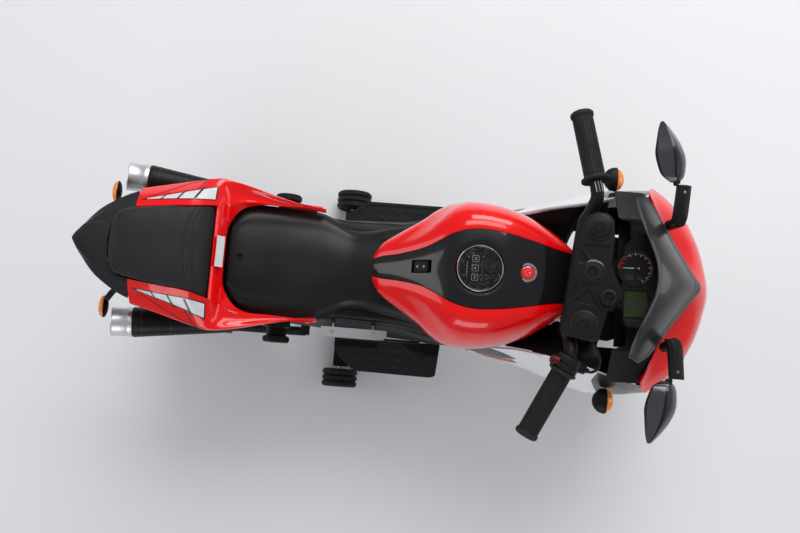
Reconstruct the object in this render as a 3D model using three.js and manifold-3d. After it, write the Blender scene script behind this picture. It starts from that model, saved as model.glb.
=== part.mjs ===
// Child's ride-on motorcycle, built as separate sub-parts. Millimetres, +X forward, +Y left, +Z up.
// The origin is the middle of the bounding box's base, on the ground.
import * as THREE from 'three';
import { mergeVertices } from 'three/addons/utils/BufferGeometryUtils.js';
import Module from 'manifold-3d';

const wasm = await Module();
wasm.setup();

// ---- driving dimensions ----
const GAP = 0.6;                      // room left round a neighbour that a part is cut by
const SKIN = 4;                       // wall of the moulded covers
const PANEL = 3;                      // wall of the painted panels
const WHEEL_R = 115;                  // front and rear tyre radius
const TYRE_SIDES = 24;
const FRONT_TYRE_HALF = 34;
const REAR_TYRE_HALF = 40;
const FRONT_AXLE_X = 420;
const REAR_AXLE_X = -330;
const STEM_TOP = new THREE.Vector3(295, 0, 580);
const AXLE_POINT = new THREE.Vector3(FRONT_AXLE_X, 0, WHEEL_R);
const REST_STEER_DEG = -6.5;          // the bars rest turned a little to the right
const FORK_Y = 78;                    // fork leg centres
const FORK_R = 17;
const STEM_R = 14;
const AXLE_R = 8;
const BAR_R = 11;
const GRIP_INNER = new THREE.Vector3(279, 155, 562);
const GRIP_OUTER = new THREE.Vector3(244, 262, 540);
const TRAINER_X = -97;
const TRAINER_R = 37;
const TRAINER_Y = [173, 211];         // inner and outer face of a training wheel
const DIAL_X = 120;
const DIAL_R = 38.5;
const DIAL_TOP = 554;
const MEDIA_X = DIAL_X + 18;         // small button inside the dial
const BUTTON_X = 198;
const BUTTON_R = 11;
const ROCKER_X = 28;
const ROCKER_Z = 511;
const ROCKER_HALF = [13.5, 9.5];      // half length and half width of the rocker
const FIT = 1.2;                      // room round a part that moves in another
const HALF_SEAM = 0.3;                // room left on each side of the middle seam
const PIVOT = { x: -170, z: 196, r: 9, half: 114 };   // swingarm pivot
const ARM_Y = 107;                    // swingarm arm centres
const HORN = { foot: 268, top: 253, y: -142, z: 571, r: 7.2, travel: 2 };   // it faces rearward

const STEER_UP = STEM_TOP.clone().sub(AXLE_POINT).normalize();
const RAKE = Math.atan2(-STEER_UP.x, STEER_UP.z);

// ---- helpers ----
const V = (x, y, z) => new THREE.Vector3(x, y, z);
const deg = THREE.MathUtils.degToRad;

function bare(geometry) {
  const copy = geometry.index ? geometry.clone() : geometry;
  copy.deleteAttribute('normal');
  copy.deleteAttribute('uv');
  return mergeVertices(copy, 1e-4);
}

function volumeOf(geometry) {
  const p = geometry.attributes.position;
  const index = geometry.index.array;
  let volume = 0;
  const a = V(0, 0, 0);
  const b = V(0, 0, 0);
  const c = V(0, 0, 0);
  for (let i = 0; i < index.length; i += 3) {
    a.fromBufferAttribute(p, index[i]);
    b.fromBufferAttribute(p, index[i + 1]);
    c.fromBufferAttribute(p, index[i + 2]);
    volume += a.dot(b.cross(c)) / 6;
  }
  return volume;
}

function facingOut(geometry) {
  const g = bare(geometry);
  if (volumeOf(g) < 0) {
    const index = g.index.array;
    for (let i = 0; i < index.length; i += 3) {
      const keep = index[i];
      index[i] = index[i + 1];
      index[i + 1] = keep;
    }
  }
  return g;
}

function solid(geometry) {
  const g = facingOut(geometry);
  return new wasm.Manifold(new wasm.Mesh({
    numProp: 3,
    vertProperties: new Float32Array(g.attributes.position.array),
    triVerts: new Uint32Array(g.index.array),
  }));
}

// The largest single body of a cut solid, as a three.js geometry.
function toGeometry(manifold) {
  const bodies = manifold.decompose();
  let best = bodies[0];
  for (const body of bodies) {
    if (body.volume() > best.volume()) best = body;
  }
  const mesh = best.getMesh();
  const g = new THREE.BufferGeometry();
  g.setAttribute('position', new THREE.BufferAttribute(new Float32Array(mesh.vertProperties), 3));
  g.setIndex(new THREE.BufferAttribute(new Uint32Array(mesh.triVerts), 1));
  return g;
}

function join(...geometries) {
  return toGeometry(geometries.map(solid).reduce((a, b) => a.add(b)));
}

function cut(geometry, ...cutters) {
  return toGeometry(cutters.reduce((a, b) => a.subtract(solid(b)), solid(geometry)));
}

// A copy grown by pushing every vertex out along its normal, used to cut room in a neighbour.
function grown(geometry, by = GAP) {
  const g = facingOut(geometry);
  g.computeVertexNormals();
  const p = g.attributes.position;
  const n = g.attributes.normal;
  for (let i = 0; i < p.count; i += 1) {
    p.setXYZ(i, p.getX(i) + n.getX(i) * by, p.getY(i) + n.getY(i) * by, p.getZ(i) + n.getZ(i) * by);
  }
  return g;
}

function clearOf(geometry, ...neighbours) {
  return cut(geometry, ...neighbours.map((n) => grown(n)));
}

function mirrored(geometry) {
  return facingOut(geometry.clone().applyMatrix4(new THREE.Matrix4().makeScale(1, -1, 1)));
}

function moved(geometry, x, y, z) {
  return geometry.clone().translate(x, y, z);
}

function box(x0, x1, y0, y1, z0, z1) {
  const g = new THREE.BoxGeometry(x1 - x0, y1 - y0, z1 - z0);
  return g.translate((x0 + x1) / 2, (y0 + y1) / 2, (z0 + z1) / 2);
}

// A round bar from one point to another, with its own end radii.
function rod(from, to, r0, r1 = r0, sides = 16) {
  const along = to.clone().sub(from);
  const g = new THREE.CylinderGeometry(r1, r0, along.length(), sides);
  const turn = new THREE.Quaternion().setFromUnitVectors(V(0, 1, 0), along.clone().normalize());
  g.applyQuaternion(turn);
  const middle = from.clone().add(to).multiplyScalar(0.5);
  return g.translate(middle.x, middle.y, middle.z);
}


// A ring or disc turned about the Y axis. The profile is [radius, y] pairs that close on themselves.
function turned(profile, sides, closed = true) {
  const points = profile.map(([r, y]) => new THREE.Vector2(r, y));
  if (closed) points.push(points[0].clone());
  const g = new THREE.LatheGeometry(points, sides);
  return g.rotateY(Math.PI / sides);
}

// A flat outline [x, y] pushed up from z0 to z1, with an optional small bevel.
function slab(outline, z0, z1, bevel = 0) {
  const shape = new THREE.Shape(outline.map(([x, y]) => new THREE.Vector2(x, y)));
  const g = new THREE.ExtrudeGeometry(shape, {
    depth: z1 - z0 - 2 * bevel,
    bevelEnabled: bevel > 0,
    bevelThickness: bevel,
    bevelSize: bevel,
    bevelOffset: -bevel,
    bevelSegments: 1,
    curveSegments: 6,
  });
  return g.translate(0, 0, z0 + bevel);
}

function indexed(points, faces) {
  const g = new THREE.BufferGeometry();
  g.setAttribute('position', new THREE.Float32BufferAttribute(points.flatMap((p) => p.toArray()), 3));
  g.setIndex(faces);
  return facingOut(g);
}

function gridNormals(grid) {
  const rows = grid.length;
  const cols = grid[0].length;
  return grid.map((row, i) => row.map((_, j) => {
    const du = grid[Math.min(i + 1, rows - 1)][j].clone().sub(grid[Math.max(i - 1, 0)][j]);
    const dv = grid[i][Math.min(j + 1, cols - 1)].clone().sub(grid[i][Math.max(j - 1, 0)]);
    return du.cross(dv).normalize();
  }));
}

// A curved sheet of one thickness, from a grid of points on its outer face. Side +1 or -1 says which
// way the wall grows from that face; lift moves both faces along the normal first.
function sheet(grid, thickness, side = 1, lift = 0) {
  const rows = grid.length;
  const cols = grid[0].length;
  const normals = gridNormals(grid);
  const points = [];
  for (const level of [lift, lift + thickness * side]) {
    grid.forEach((row, i) => row.forEach((p, j) => {
      points.push(p.clone().addScaledVector(normals[i][j], level));
    }));
  }
  const at = (k, i, j) => k * rows * cols + i * cols + j;
  const faces = [];
  const quad = (a, b, c, d) => faces.push(a, b, c, a, c, d);
  for (let i = 0; i + 1 < rows; i += 1) {
    for (let j = 0; j + 1 < cols; j += 1) {
      quad(at(0, i, j), at(0, i + 1, j), at(0, i + 1, j + 1), at(0, i, j + 1));
      quad(at(1, i, j), at(1, i, j + 1), at(1, i + 1, j + 1), at(1, i + 1, j));
    }
    quad(at(0, i, 0), at(1, i, 0), at(1, i + 1, 0), at(0, i + 1, 0));
    quad(at(0, i, cols - 1), at(0, i + 1, cols - 1), at(1, i + 1, cols - 1), at(1, i, cols - 1));
  }
  for (let j = 0; j + 1 < cols; j += 1) {
    quad(at(0, 0, j), at(0, 0, j + 1), at(1, 0, j + 1), at(1, 0, j));
    quad(at(0, rows - 1, j), at(1, rows - 1, j), at(1, rows - 1, j + 1), at(0, rows - 1, j + 1));
  }
  return indexed(points, faces);
}

// A closed solid through rings of points, capped at both ends by a fan.
function loft(rings) {
  const n = rings[0].length;
  const points = rings.flat();
  const faces = [];
  for (let i = 0; i + 1 < rings.length; i += 1) {
    for (let j = 0; j < n; j += 1) {
      const a = i * n + j;
      const b = i * n + ((j + 1) % n);
      faces.push(a, b, b + n, a, b + n, a + n);
    }
  }
  [0, rings.length - 1].forEach((i, end) => {
    const centre = rings[i].reduce((s, p) => s.add(p), V(0, 0, 0)).multiplyScalar(1 / n);
    points.push(centre);
    for (let j = 0; j < n; j += 1) {
      const a = i * n + j;
      const b = i * n + ((j + 1) % n);
      if (end) faces.push(a, b, points.length - 1);
      else faces.push(b, a, points.length - 1);
    }
  });
  return indexed(points, faces);
}

// A bent pipe of straight runs, mitred where they meet.
function pipe(points, r, sides) {
  const last = points.length - 1;
  return loft(points.map((p, i) => {
    const before = p.clone().sub(points[Math.max(i - 1, 0)]).normalize();
    const after = points[Math.min(i + 1, last)].clone().sub(p).normalize();
    const along = before.add(after).normalize();
    const flat = V(0, 0, 1).cross(along).normalize();
    const upright = along.clone().cross(flat);
    return Array.from({ length: sides }, (_, k) => {
      const a = (k / sides) * Math.PI * 2;
      return p.clone().addScaledVector(flat, r * Math.cos(a)).addScaledVector(upright, r * Math.sin(a));
    });
  }));
}

// ---- tank: two painted panels either side of a black centre ----
// Stations: x, inner edge y and z, outer edge y and z.
const TANK = [
  [-50, 15, 446, 22, 441],
  [-38, 19, 456, 42, 442],
  [-8, 23, 480, 64, 443],
  [30, 32, 512, 89, 443],
  [52, 43, 528, 107, 436],
  [78, 57, 542, 121, 430],
  [112, 65, 549, 126, 428],
  [160, 62, 549, 121, 432],
  [208, 53, 541, 105, 442],
  [242, 46, 531, 84, 458],
  [270, 42, 519, 60, 484],
  [283, 41, 512, 45, 503],
];
const TANK_ARC = 6;
const SEAM = 1.1;

function tankPanelGrid() {
  return TANK.map(([x, yi, zi, yo, zo]) => Array.from({ length: TANK_ARC + 1 }, (_, k) => {
    const t = (k / TANK_ARC) * Math.PI / 2;
    return V(x, yi + (yo - yi) * Math.sin(t) ** 0.9, zo + (zi - zo) * Math.cos(t) ** 0.8);
  }));
}

function tankPanel() {
  return sheet(tankPanelGrid(), PANEL, -1);
}

function tankCentreGrid() {
  const fractions = [-1, -0.6, -0.2, 0.2, 0.6, 1];
  return TANK.map(([x, yi, zi]) => fractions.map((f) => {
    return V(x, f * (yi - SEAM), zi + 4 * (1 - f * f) - 2);
  }));
}

function tankCentre() {
  const skin = sheet(tankCentreGrid(), PANEL, 1);
  const [slotX, slotY] = ROCKER_HALF.map((half) => half + 1.5);
  return cut(
    skin,
    rod(V(DIAL_X, 0, 520), V(DIAL_X, 0, 580), DIAL_R + FIT, DIAL_R + FIT, 28),
    rod(V(BUTTON_X, 0, 520), V(BUTTON_X, 0, 580), BUTTON_R + 1, BUTTON_R + 1, 16),
    box(ROCKER_X - slotX, ROCKER_X + slotX, -slotY, slotY, ROCKER_Z - 21, ROCKER_Z + 29),
  );
}

// The dial is a shallow cup under the tank centre, with a flat face.
function mediaPanel() {
  const drum = rod(V(DIAL_X, 0, DIAL_TOP - 24), V(DIAL_X, 0, DIAL_TOP), DIAL_R, DIAL_R, 28);
  return cut(drum, box(MEDIA_X - 5, MEDIA_X + 5, -8, 8, DIAL_TOP - 7, DIAL_TOP + 6));
}

const ROCKER_TILT = deg(38);

function mediaButton() {
  return box(MEDIA_X - 4.5, MEDIA_X + 4.5, -7.5, 7.5, DIAL_TOP - 5.4, DIAL_TOP + 0.6);
}

function powerButton() {
  return rod(V(BUTTON_X, 0, 536), V(BUTTON_X, 0, 549), BUTTON_R, BUTTON_R - 0.6, 20);
}

function directionRocker() {
  const [halfX, halfY] = ROCKER_HALF;
  const body = box(-halfX, halfX, -halfY, halfY, -6, 3).rotateY(-ROCKER_TILT);
  return moved(body, ROCKER_X, 0, ROCKER_Z);
}

// ---- seat ----
// Stations: x, half-width, top z at the middle, drop at the edge.
const SEAT = [
  [-302, 40, 436, 6],
  [-296, 62, 438, 8],
  [-280, 84, 438, 10],
  [-250, 93, 433, 12],
  [-200, 96, 422, 14],
  [-150, 97, 414, 16],
  [-118, 86, 411, 18],
  [-92, 72, 412, 18],
  [-62, 71, 418, 16],
  [-30, 77, 424, 12],
  [10, 85, 430, 9],
  [40, 96, 430, 7],
  [58, 104, 428, 6],
];
const SEAT_BASE = 394;

function seat() {
  const fractions = [-1, -0.82, -0.5, 0, 0.5, 0.82, 1];
  const rings = SEAT.map(([x, w, zt, drop]) => {
    const top = fractions.map((f) => V(x, f * w, zt - drop * Math.abs(f) ** 2.4));
    return [V(x, -w + 3, SEAT_BASE), ...top, V(x, w - 3, SEAT_BASE)];
  });
  return loft(rings);
}

// ---- tail ----
// Stations: x, shoulder y and z (inner, top edge), widest y and z, lower edge y and z.
const COWL = [
  [-446, 60, 509, 97, 474, 78, 446],
  [-400, 66, 508, 109, 468, 84, 436],
  [-350, 72, 503, 122, 460, 92, 424],
  [-320, 79, 476, 129, 454, 100, 418],
  [-304, 84, 452, 128, 450, 101, 414],
  [-270, 94, 442, 122, 444, 101, 410],
  [-220, 95, 432, 110, 434, 101, 406],
  [-175, 97, 424, 101, 426, 99, 404],
  [-140, 97, 414, 98, 416, 98, 404],
];

function cowlRow([x, yi, zi, yw, zw, yl, zl]) {
  const half = [
    [yl, zl], [yw - 2, zw - 9], [yw, zw], [(yi + yw) / 2, (zi + zw) / 2 + 3], [yi, zi], [yi * 0.5, zi],
  ];
  const left = half.map(([y, z]) => V(x, y, z));
  const right = half.slice().reverse().map(([y, z]) => V(x, -y, z));
  return [...left, ...right];
}

function tailCowl(seatSolid, pillionSolid) {
  const hood = sheet(COWL.map(cowlRow), PANEL, 1);
  const seatWell = box(-302.6, -130, -91, 91, 380, 470);
  const pillionWell = slab([[-450, -60], [-322, -79.5], [-322, 79.5], [-450, 60]], 440, 530);
  return clearOf(cut(hood, seatWell, pillionWell), seatSolid, pillionSolid);
}

// Stations: x, half-width, top z, base z.
const PILLION = [
  [-481, 18, 521, 500],
  [-477, 34, 523, 492],
  [-466, 51, 525, 486],
  [-440, 58, 525, 482],
  [-400, 65, 520, 480],
  [-362, 71, 511, 476],
  [-343, 75, 504, 470],
  [-330, 77, 490, 462],
  [-323, 78, 478, 458],
];

function pillion() {
  const fractions = [-1, -0.7, -0.3, 0.3, 0.7, 1];
  return loft(PILLION.map(([x, w, zt, zb]) => {
    const top = fractions.map((f) => V(x, f * w, zt - 6 * Math.abs(f) ** 3));
    return [V(x, -w + 2, zb), ...top, V(x, w - 2, zb)];
  }));
}

// Stations: x, half-width, top z, edge z, base z.
const CAP = [
  [-448, 91, 512, 488, 478],
  [-464, 83, 515, 489, 480],
  [-484, 71, 517, 491, 482],
  [-504, 56, 517, 493, 484],
  [-518, 40, 516, 495, 487],
  [-530, 23, 515, 497, 490],
  [-537, 12, 513, 500, 494],
  [-540, 5, 512, 502, 496],
];

function tailCap(pillionSolid, cowlSolid) {
  const body = loft(CAP.map(([x, w, zt, ze, zb]) => {
    const top = [-1, -0.72, -0.42, -0.36, 0.36, 0.42, 0.72, 1].map((f) => {
      const lift = Math.abs(f) < 0.4 ? 2 : 0;
      return V(x, f * w, ze + (zt - ze) * (1 - Math.abs(f) ** 2) + lift);
    });
    return [V(x, -w * 0.8, zb), ...top, V(x, w * 0.8, zb)];
  }));
  return clearOf(body, pillionSolid, cowlSolid);
}

// ---- body shells: one half each, open underneath the seams ----
// Stations: x, top z, shoulder y, widest y and z, lower y and z, base z.
const BODY = [
  [-430, 440, 50, 60, 425, 48, 408, 398],
  [-340, 416, 74, 88, 396, 78, 360, 340],
  [-306, 390, 82, 93, 376, 84, 322, 300],
  [-250, 390, 84, 94, 370, 86, 290, 266],
  [-180, 390, 88, 95, 362, 94, 210, 160],
  [-100, 390, 82, 91, 360, 98, 160, 124],
  [0, 390, 84, 98, 352, 104, 160, 124],
  [60, 391, 92, 110, 352, 106, 160, 124],
  [72, 422, 106, 114, 356, 106, 160, 124],
  [112, 424, 112, 116, 356, 106, 162, 126],
  [170, 427, 104, 113, 356, 98, 176, 138],
  [212, 438, 88, 100, 356, 88, 192, 158],
  [244, 452, 70, 88, 352, 78, 206, 176],
  [276, 476, 44, 68, 350, 60, 234, 212],
];
const PEG = { x: -215, z: 320, r: 24, from: 84, to: 137 };

function bodyShellLeft() {
  const grid = BODY.map(([x, zt, ys, yw, zw, yl, zl, zb]) => [
    V(x, HALF_SEAM, zt), V(x, ys * 0.6, zt), V(x, ys, zt - 4), V(x, (ys + yw) / 2 + 3, (zt + zw) / 2),
    V(x, yw, zw), V(x, (yw + yl) / 2 + 2, (zw + zl) / 2), V(x, yl, zl),
    V(x, yl * 0.75, zb), V(x, HALF_SEAM, zb),
  ]);
  const shell = sheet(grid, SKIN, -1);
  const peg = rod(V(PEG.x, PEG.from, PEG.z), V(PEG.x, PEG.to, PEG.z), PEG.r, PEG.r, 16);
  const half = box(-600, 600, HALF_SEAM, 400, 0, 700);
  return toGeometry(solid(join(shell, peg)).intersect(solid(half)));
}

// ---- side fairings, flaring forward to the nose ----
// Stations: x, top y and z, middle y, low y and z.
const FAIRING = [
  [132, 119, 402, 124, 121, 335],
  [180, 120, 418, 134, 127, 255],
  [208, 121, 436, 141, 130, 228],
  [240, 127, 461, 150, 134, 205],
  [300, 138, 474, 170, 142, 190],
  [350, 152, 478, 184, 150, 205],
  [400, 166, 476, 182, 152, 280],
  [428, 170, 470, 176, 156, 340],
];

function sideFairing() {
  const grid = FAIRING.map(([x, yt, zt, ym, yl, zl]) => [
    V(x, yt, zt), V(x, (yt + ym) / 2 + 3, zt - (zt - zl) * 0.22), V(x, ym, (zt + zl) / 2 + 15),
    V(x, (ym + yl) / 2 + 3, (zt + 2 * zl) / 3), V(x, yl, zl),
  ]);
  return sheet(grid, PANEL, -1);
}

// ---- nose, windshield, dash ----
// Half outlines from the middle to the side, at falling levels: [x, y, z].
const NOSE = [
  [[483, 0, 527], [462, 30, 531], [440, 58, 532], [427, 90, 528], [419, 122, 514], [408, 160, 499]],
  [[514, 0, 492], [506, 42, 490], [492, 82, 487], [468, 122, 484], [440, 151, 480], [416, 173, 476]],
  [[530, 0, 452], [522, 41, 451], [508, 84, 450], [486, 128, 450], [458, 157, 450], [430, 178, 450]],
  [[540, 0, 421], [525, 40, 418], [504, 78, 412], [480, 114, 408], [456, 140, 404], [432, 168, 400]],
  [[512, 0, 380], [502, 34, 378], [484, 64, 376], [464, 94, 374], [446, 120, 374], [432, 142, 374]],
];
const SHIELD_FRONT = [
  [488, 0, 535], [468, 26, 544], [444, 56, 551], [419, 90, 557], [396, 118, 570], [373, 132, 592],
];
const SHIELD_REAR = [
  [388, 0, 622], [386, 23, 621], [378, 48, 618], [367, 76, 614], [357, 104, 610], [352, 126, 608],
];
const DASH = { rearNarrow: 374, rearWide: 352, front: 428, z: 512, sideZ: 482, notch: 100, half: 164 };
const GAUGE = { x: 375, y: 21, r: 28 };

function bothSides(half) {
  const left = half.slice().reverse().map(([x, y, z]) => V(x, y, z));
  const right = half.slice(1).map(([x, y, z]) => V(x, -y, z));
  return [...left, ...right];
}

function noseGrid() {
  return NOSE.map(bothSides);
}

function noseCowl() {
  return sheet(noseGrid(), PANEL, 1);
}

// A lens that follows the nose, standing just proud of it.
function headlight() {
  const rows = noseGrid().slice(2, 4);
  return sheet(rows.map((row) => row.slice(1, 5)), 2.5, -1, -1.5);
}

function windshield() {
  const rows = [0, 0.33, 0.66, 1].map((t) => SHIELD_FRONT.map((a, i) => {
    const b = SHIELD_REAR[i];
    const crown = 9 * Math.sin(Math.PI * t) * (1 - (i / 5) ** 2);
    return [a[0] + (b[0] - a[0]) * t, a[1] + (b[1] - a[1]) * t, a[2] + (b[2] - a[2]) * t + crown];
  }));
  return sheet(rows.map(bothSides), PANEL, 1);
}

function dashTray() {
  const ys = [DASH.half, 140, 113, DASH.notch, 60, 20, -20, -60, -DASH.notch, -113, -140, -DASH.half];
  const row = (t) => ys.map((y) => {
    const side = Math.abs(y);
    const rear = side > DASH.notch + 5 ? DASH.rearWide : DASH.rearNarrow;
    const front = DASH.front - Math.max(0, side - 120) * 0.5;
    const drop = Math.max(0, side - 110) / (DASH.half - 110);
    return V(rear + (front - rear) * t, y, DASH.z + (DASH.sideZ - DASH.z) * drop);
  });
  return sheet([row(0), row(0.5), row(1)], PANEL, 1);
}

function instrumentCluster() {
  const outline = [
    [352, -44], [352, 48], [380, 80], [410, 74], [418, 30], [418, -30], [408, -70], [362, -72],
  ];
  const base = slab(outline, 530, 558);
  const slope = new THREE.BoxGeometry(140, 240, 40);
  slope.rotateY(-0.27);
  const top = slope.translate(375, 0, 576);
  const foot = box(386, 414, -50, 50, DASH.z + 3.6, 534);
  const well = rod(V(GAUGE.x, GAUGE.y, 552), V(GAUGE.x - 8, GAUGE.y, 580), GAUGE.r, GAUGE.r, 28);
  return cut(join(base, foot), top, well);
}

// ---- mirrors and signals ----
// A flat-sided stalk that stands on the nose and reaches out to the mirror's hinge.
function mirrorArm() {
  const foot = rod(V(433, 101, 530), V(429, 97, 586), 9, 9, 12);
  const stations = [
    [426, 90, 584, 11, 9], [428, 104, 592, 11.5, 8], [430, 150, 599, 11.5, 6.5],
    [430, 153.5, 599, 10.5, 5.5],
  ];
  const arm = loft(stations.map(([x, y, z, wide, deep]) => {
    const section = [[-1, -0.8], [-1, 0.4], [-0.4, 1], [0.6, 1], [1, 0.4], [1, -0.8]];
    return section.map(([across, up]) => V(x + wide * across, y, z + deep * up));
  }));
  return join(foot, arm);
}

// Stations: x, y, half length and half depth of the head.
const MIRROR = [
  [413, 157, 12, 9],
  [410, 166, 25, 15],
  [408, 180, 31, 18],
  [405, 200, 34, 19],
  [401, 221, 27, 16.5],
  [395, 240, 16, 10],
  [390, 254, 4, 4],
];
const MIRROR_Z = 602;

function mirrorHead() {
  return loft(MIRROR.map(([x, y, halfLong, halfDeep]) => Array.from({ length: 10 }, (_, k) => {
    const a = (k / 10) * Math.PI * 2;
    return V(x + halfLong * Math.cos(a) * 0.75, y, MIRROR_Z + halfDeep * Math.sin(a));
  })));
}

function frontSignal() {
  const stalk = rod(V(362, 176, 425), V(362, 190, 427), 6, 6, 10);
  const lamp = new THREE.SphereGeometry(1, 14, 8).scale(19, 22, 14).translate(364, 196, 427);
  return join(stalk, lamp);
}

function rearSignal() {
  const stalk = rod(V(-470, 62, 428), V(-506, 86, 404), 6, 6, 10);
  const lamp = new THREE.SphereGeometry(1, 14, 8).scale(9, 20, 12).translate(-507, 101, 402);
  return join(stalk, lamp);
}

// ---- exhausts ----
const CAN = [V(-284, 112, 392), V(-452, 125, 415)];
const TIP_END = V(-486, 127, 420);

function exhaust() {
  const can = rod(CAN[0], CAN[1], 16, 26, 20);
  const tip = rod(CAN[1].clone().lerp(CAN[0], 0.03), TIP_END, 24, 24, 20);
  const mouth = rod(TIP_END.clone().lerp(CAN[1], 0.9), V(-500, 128, 422), 20, 20, 16);
  const hanger = box(-400, -380, 88, 112, 398, 404);
  return cut(join(can, tip, hanger), mouth);
}

// ---- inner panels between the tank and the side fairings ----
// Stations: x, inner y and z, outer y and z.
const INNER_PANEL = [
  [190, 103, 416, 115, 424],
  [215, 97, 422, 118, 438],
  [244, 82, 421, 123, 459],
  [262, 73, 419, 127, 464],
  [284, 63, 416, 131, 468],
  [300, 97, 418, 133, 470],
  [346, 99, 418, 145, 473],
];

function innerPanel() {
  const grid = INNER_PANEL.map(([x, yi, zi, yo, zo]) => {
    return [V(x, yi, zi), V(x, yi + (yo - yi) * 0.55, zi + (zo - zi) * 0.7), V(x, yo, zo)];
  });
  return sheet(grid, PANEL, 1);
}

// ---- wheels ----
function tyre(radius, half, flat, seat) {
  const tread = radius / Math.cos(Math.PI / TYRE_SIDES);
  return turned([
    [tread, -flat], [tread, flat], [tread - 8, half * 0.76], [tread - 24, half],
    [seat, half * 0.72], [seat, -half * 0.72], [tread - 24, -half], [tread - 8, -half * 0.76],
  ], TYRE_SIDES);
}

const RIM_SEAT = 78;
const SPOKE_HOLES = 5;
const RIM_SIDES = 16;

function rim(half) {
  const edge = half * 0.7;
  const outer = RIM_SEAT - FIT;
  const bore = AXLE_R + 0.9;
  const body = turned([
    [bore, -edge], [20, -edge], [20, -8], [62, -8], [66, -edge], [outer, -edge],
    [outer, edge], [66, edge], [62, 8], [20, 8], [20, edge], [bore, edge],
  ], RIM_SIDES);
  const holes = Array.from({ length: SPOKE_HOLES }, (_, k) => {
    const a = (k / SPOKE_HOLES) * Math.PI * 2;
    const x = 41 * Math.cos(a);
    const z = 41 * Math.sin(a);
    return rod(V(x, -12, z), V(x, 12, z), 14, 14, 8);
  });
  return cut(body, ...holes);
}

function axle(halfLength) {
  return rod(V(0, -halfLength, 0), V(0, halfLength, 0), AXLE_R, AXLE_R, 16);
}

const TRAINER_SIDES = 16;

function trainingWheel() {
  const tread = TRAINER_R / Math.cos(Math.PI / TRAINER_SIDES);
  const [y0, y1] = TRAINER_Y;
  const grooves = [0.35, 0.65].map((t) => y0 + (y1 - y0) * t);
  const rise = [[tread - 4, y0], [tread, y0 + 4]];
  const ribs = grooves.flatMap((y) => [[tread, y - 2.5], [tread - 2.5, y], [tread, y + 2.5]]);
  const profile = [[6.9, y0], ...rise, ...ribs, [tread, y1 - 4], [tread - 4, y1], [6.9, y1]];
  return turned(profile, TRAINER_SIDES);
}

function trainingBar() {
  const stub = rod(V(TRAINER_X, -208, TRAINER_R), V(TRAINER_X, 208, TRAINER_R), 6, 6, 12);
  const beam = box(TRAINER_X - 16, TRAINER_X + 16, -168, 168, TRAINER_R - 10, TRAINER_R + 16);
  const posts = [-70, 70].map((y) => (
    box(TRAINER_X - 14, TRAINER_X + 14, y - 10, y + 10, TRAINER_R + 10, 123)
  ));
  return join(stub, beam, ...posts);
}

// ---- footboards ----
const BOARD_Z = 118;
const BOARD_TOP = 132;

function footboard() {
  const outline = [
    [-112, 109], [-112, 128], [-100, 150], [-74, 172], [-60, 176], [88, 178], [98, 174], [104, 109],
  ];
  const inner = [
    [-102, 112], [-102, 128], [-90, 146], [-68, 164], [-56, 168], [86, 170], [91, 167], [96, 112],
  ];
  const tray = cut(slab(outline, BOARD_Z, BOARD_TOP), slab(inner, BOARD_TOP - 3, BOARD_TOP + 5));
  const ribs = [];
  for (let i = 0; i < 5; i += 1) {
    const x = -60 + i * 28;
    const chevron = [[x, 122], [x + 14, 130], [x + 28, 122], [x + 28, 126], [x + 14, 134], [x, 126]];
    ribs.push(slab(chevron, BOARD_TOP - 4, BOARD_TOP));
  }
  const hook = box(-60, 60, 106.5, 112, BOARD_Z - 2, BOARD_TOP + 20);
  return join(tray, hook, ...ribs.filter((_, i) => i % 2 === 0));
}

// ---- rear drive ----
function swingarm() {
  const arms = [-1, 1].map((side) => {
    const y = side * ARM_Y;
    return rod(V(REAR_AXLE_X, y, WHEEL_R), V(PIVOT.x, y, PIVOT.z), 7, 9, 10);
  });
  const pads = [-1, 1].map((side) => {
    return rod(V(REAR_AXLE_X, side * 99, WHEEL_R), V(REAR_AXLE_X, side * PIVOT.half, WHEEL_R), 18, 18, 12);
  });
  const pivot = rod(V(PIVOT.x, -PIVOT.half, PIVOT.z), V(PIVOT.x, PIVOT.half, PIVOT.z), PIVOT.r, PIVOT.r, 12);
  const frameAxle = moved(axle(120), REAR_AXLE_X, 0, WHEEL_R);
  return clearOf(join(...arms, ...pads, pivot), frameAxle);
}

function gearbox() {
  const motorAt = [REAR_AXLE_X + 62, WHEEL_R + 22];
  const drum = rod(V(REAR_AXLE_X, 44, WHEEL_R), V(REAR_AXLE_X, 78, WHEEL_R), 40, 40, 20);
  const motor = rod(V(motorAt[0], 46, motorAt[1]), V(motorAt[0], 92, motorAt[1]), 20, 20, 16);
  const neck = box(REAR_AXLE_X + 20, REAR_AXLE_X + 66, 46, 76, WHEEL_R - 8, WHEEL_R + 34);
  return clearOf(join(drum, motor, neck), moved(axle(130), REAR_AXLE_X, 0, WHEEL_R));
}

function tailLight() {
  const ring = (x, w, z0, z1) => [V(x, -w, z0), V(x, -w * 1.1, z1), V(x, w * 1.1, z1), V(x, w, z0)];
  return loft([ring(-500, 26, 462, 477), ring(-512, 24, 462, 479), ring(-522, 18, 466, 481)]);
}

// ---- steering head, fixed to the body ----
function headAxis(z) {
  return STEM_TOP.clone().addScaledVector(STEER_UP, (z - STEM_TOP.z) / STEER_UP.z);
}

function steeringHead() {
  const tube = rod(headAxis(372), headAxis(500), 28, 28, 24);
  const neck = box(236, 340, -24, 24, 396, 446);
  const tabs = box(226, 246, -84, 84, 396, 416);
  return cut(join(tube, neck, tabs), rod(headAxis(330), headAxis(560), STEM_R + FIT, STEM_R + FIT, 24));
}

// ---- steering group, modelled with the wheel straight ahead ----
const LEG_TOP_Z = 520;

function steeringStem() {
  const column = rod(headAxis(318), headAxis(566), STEM_R, STEM_R, 20);
  const bridge = box(-24, 24, -106, 106, -9, 9).rotateY(-RAKE);
  const at = headAxis(340);
  return join(column, bridge.translate(at.x, at.y, at.z));
}

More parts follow.
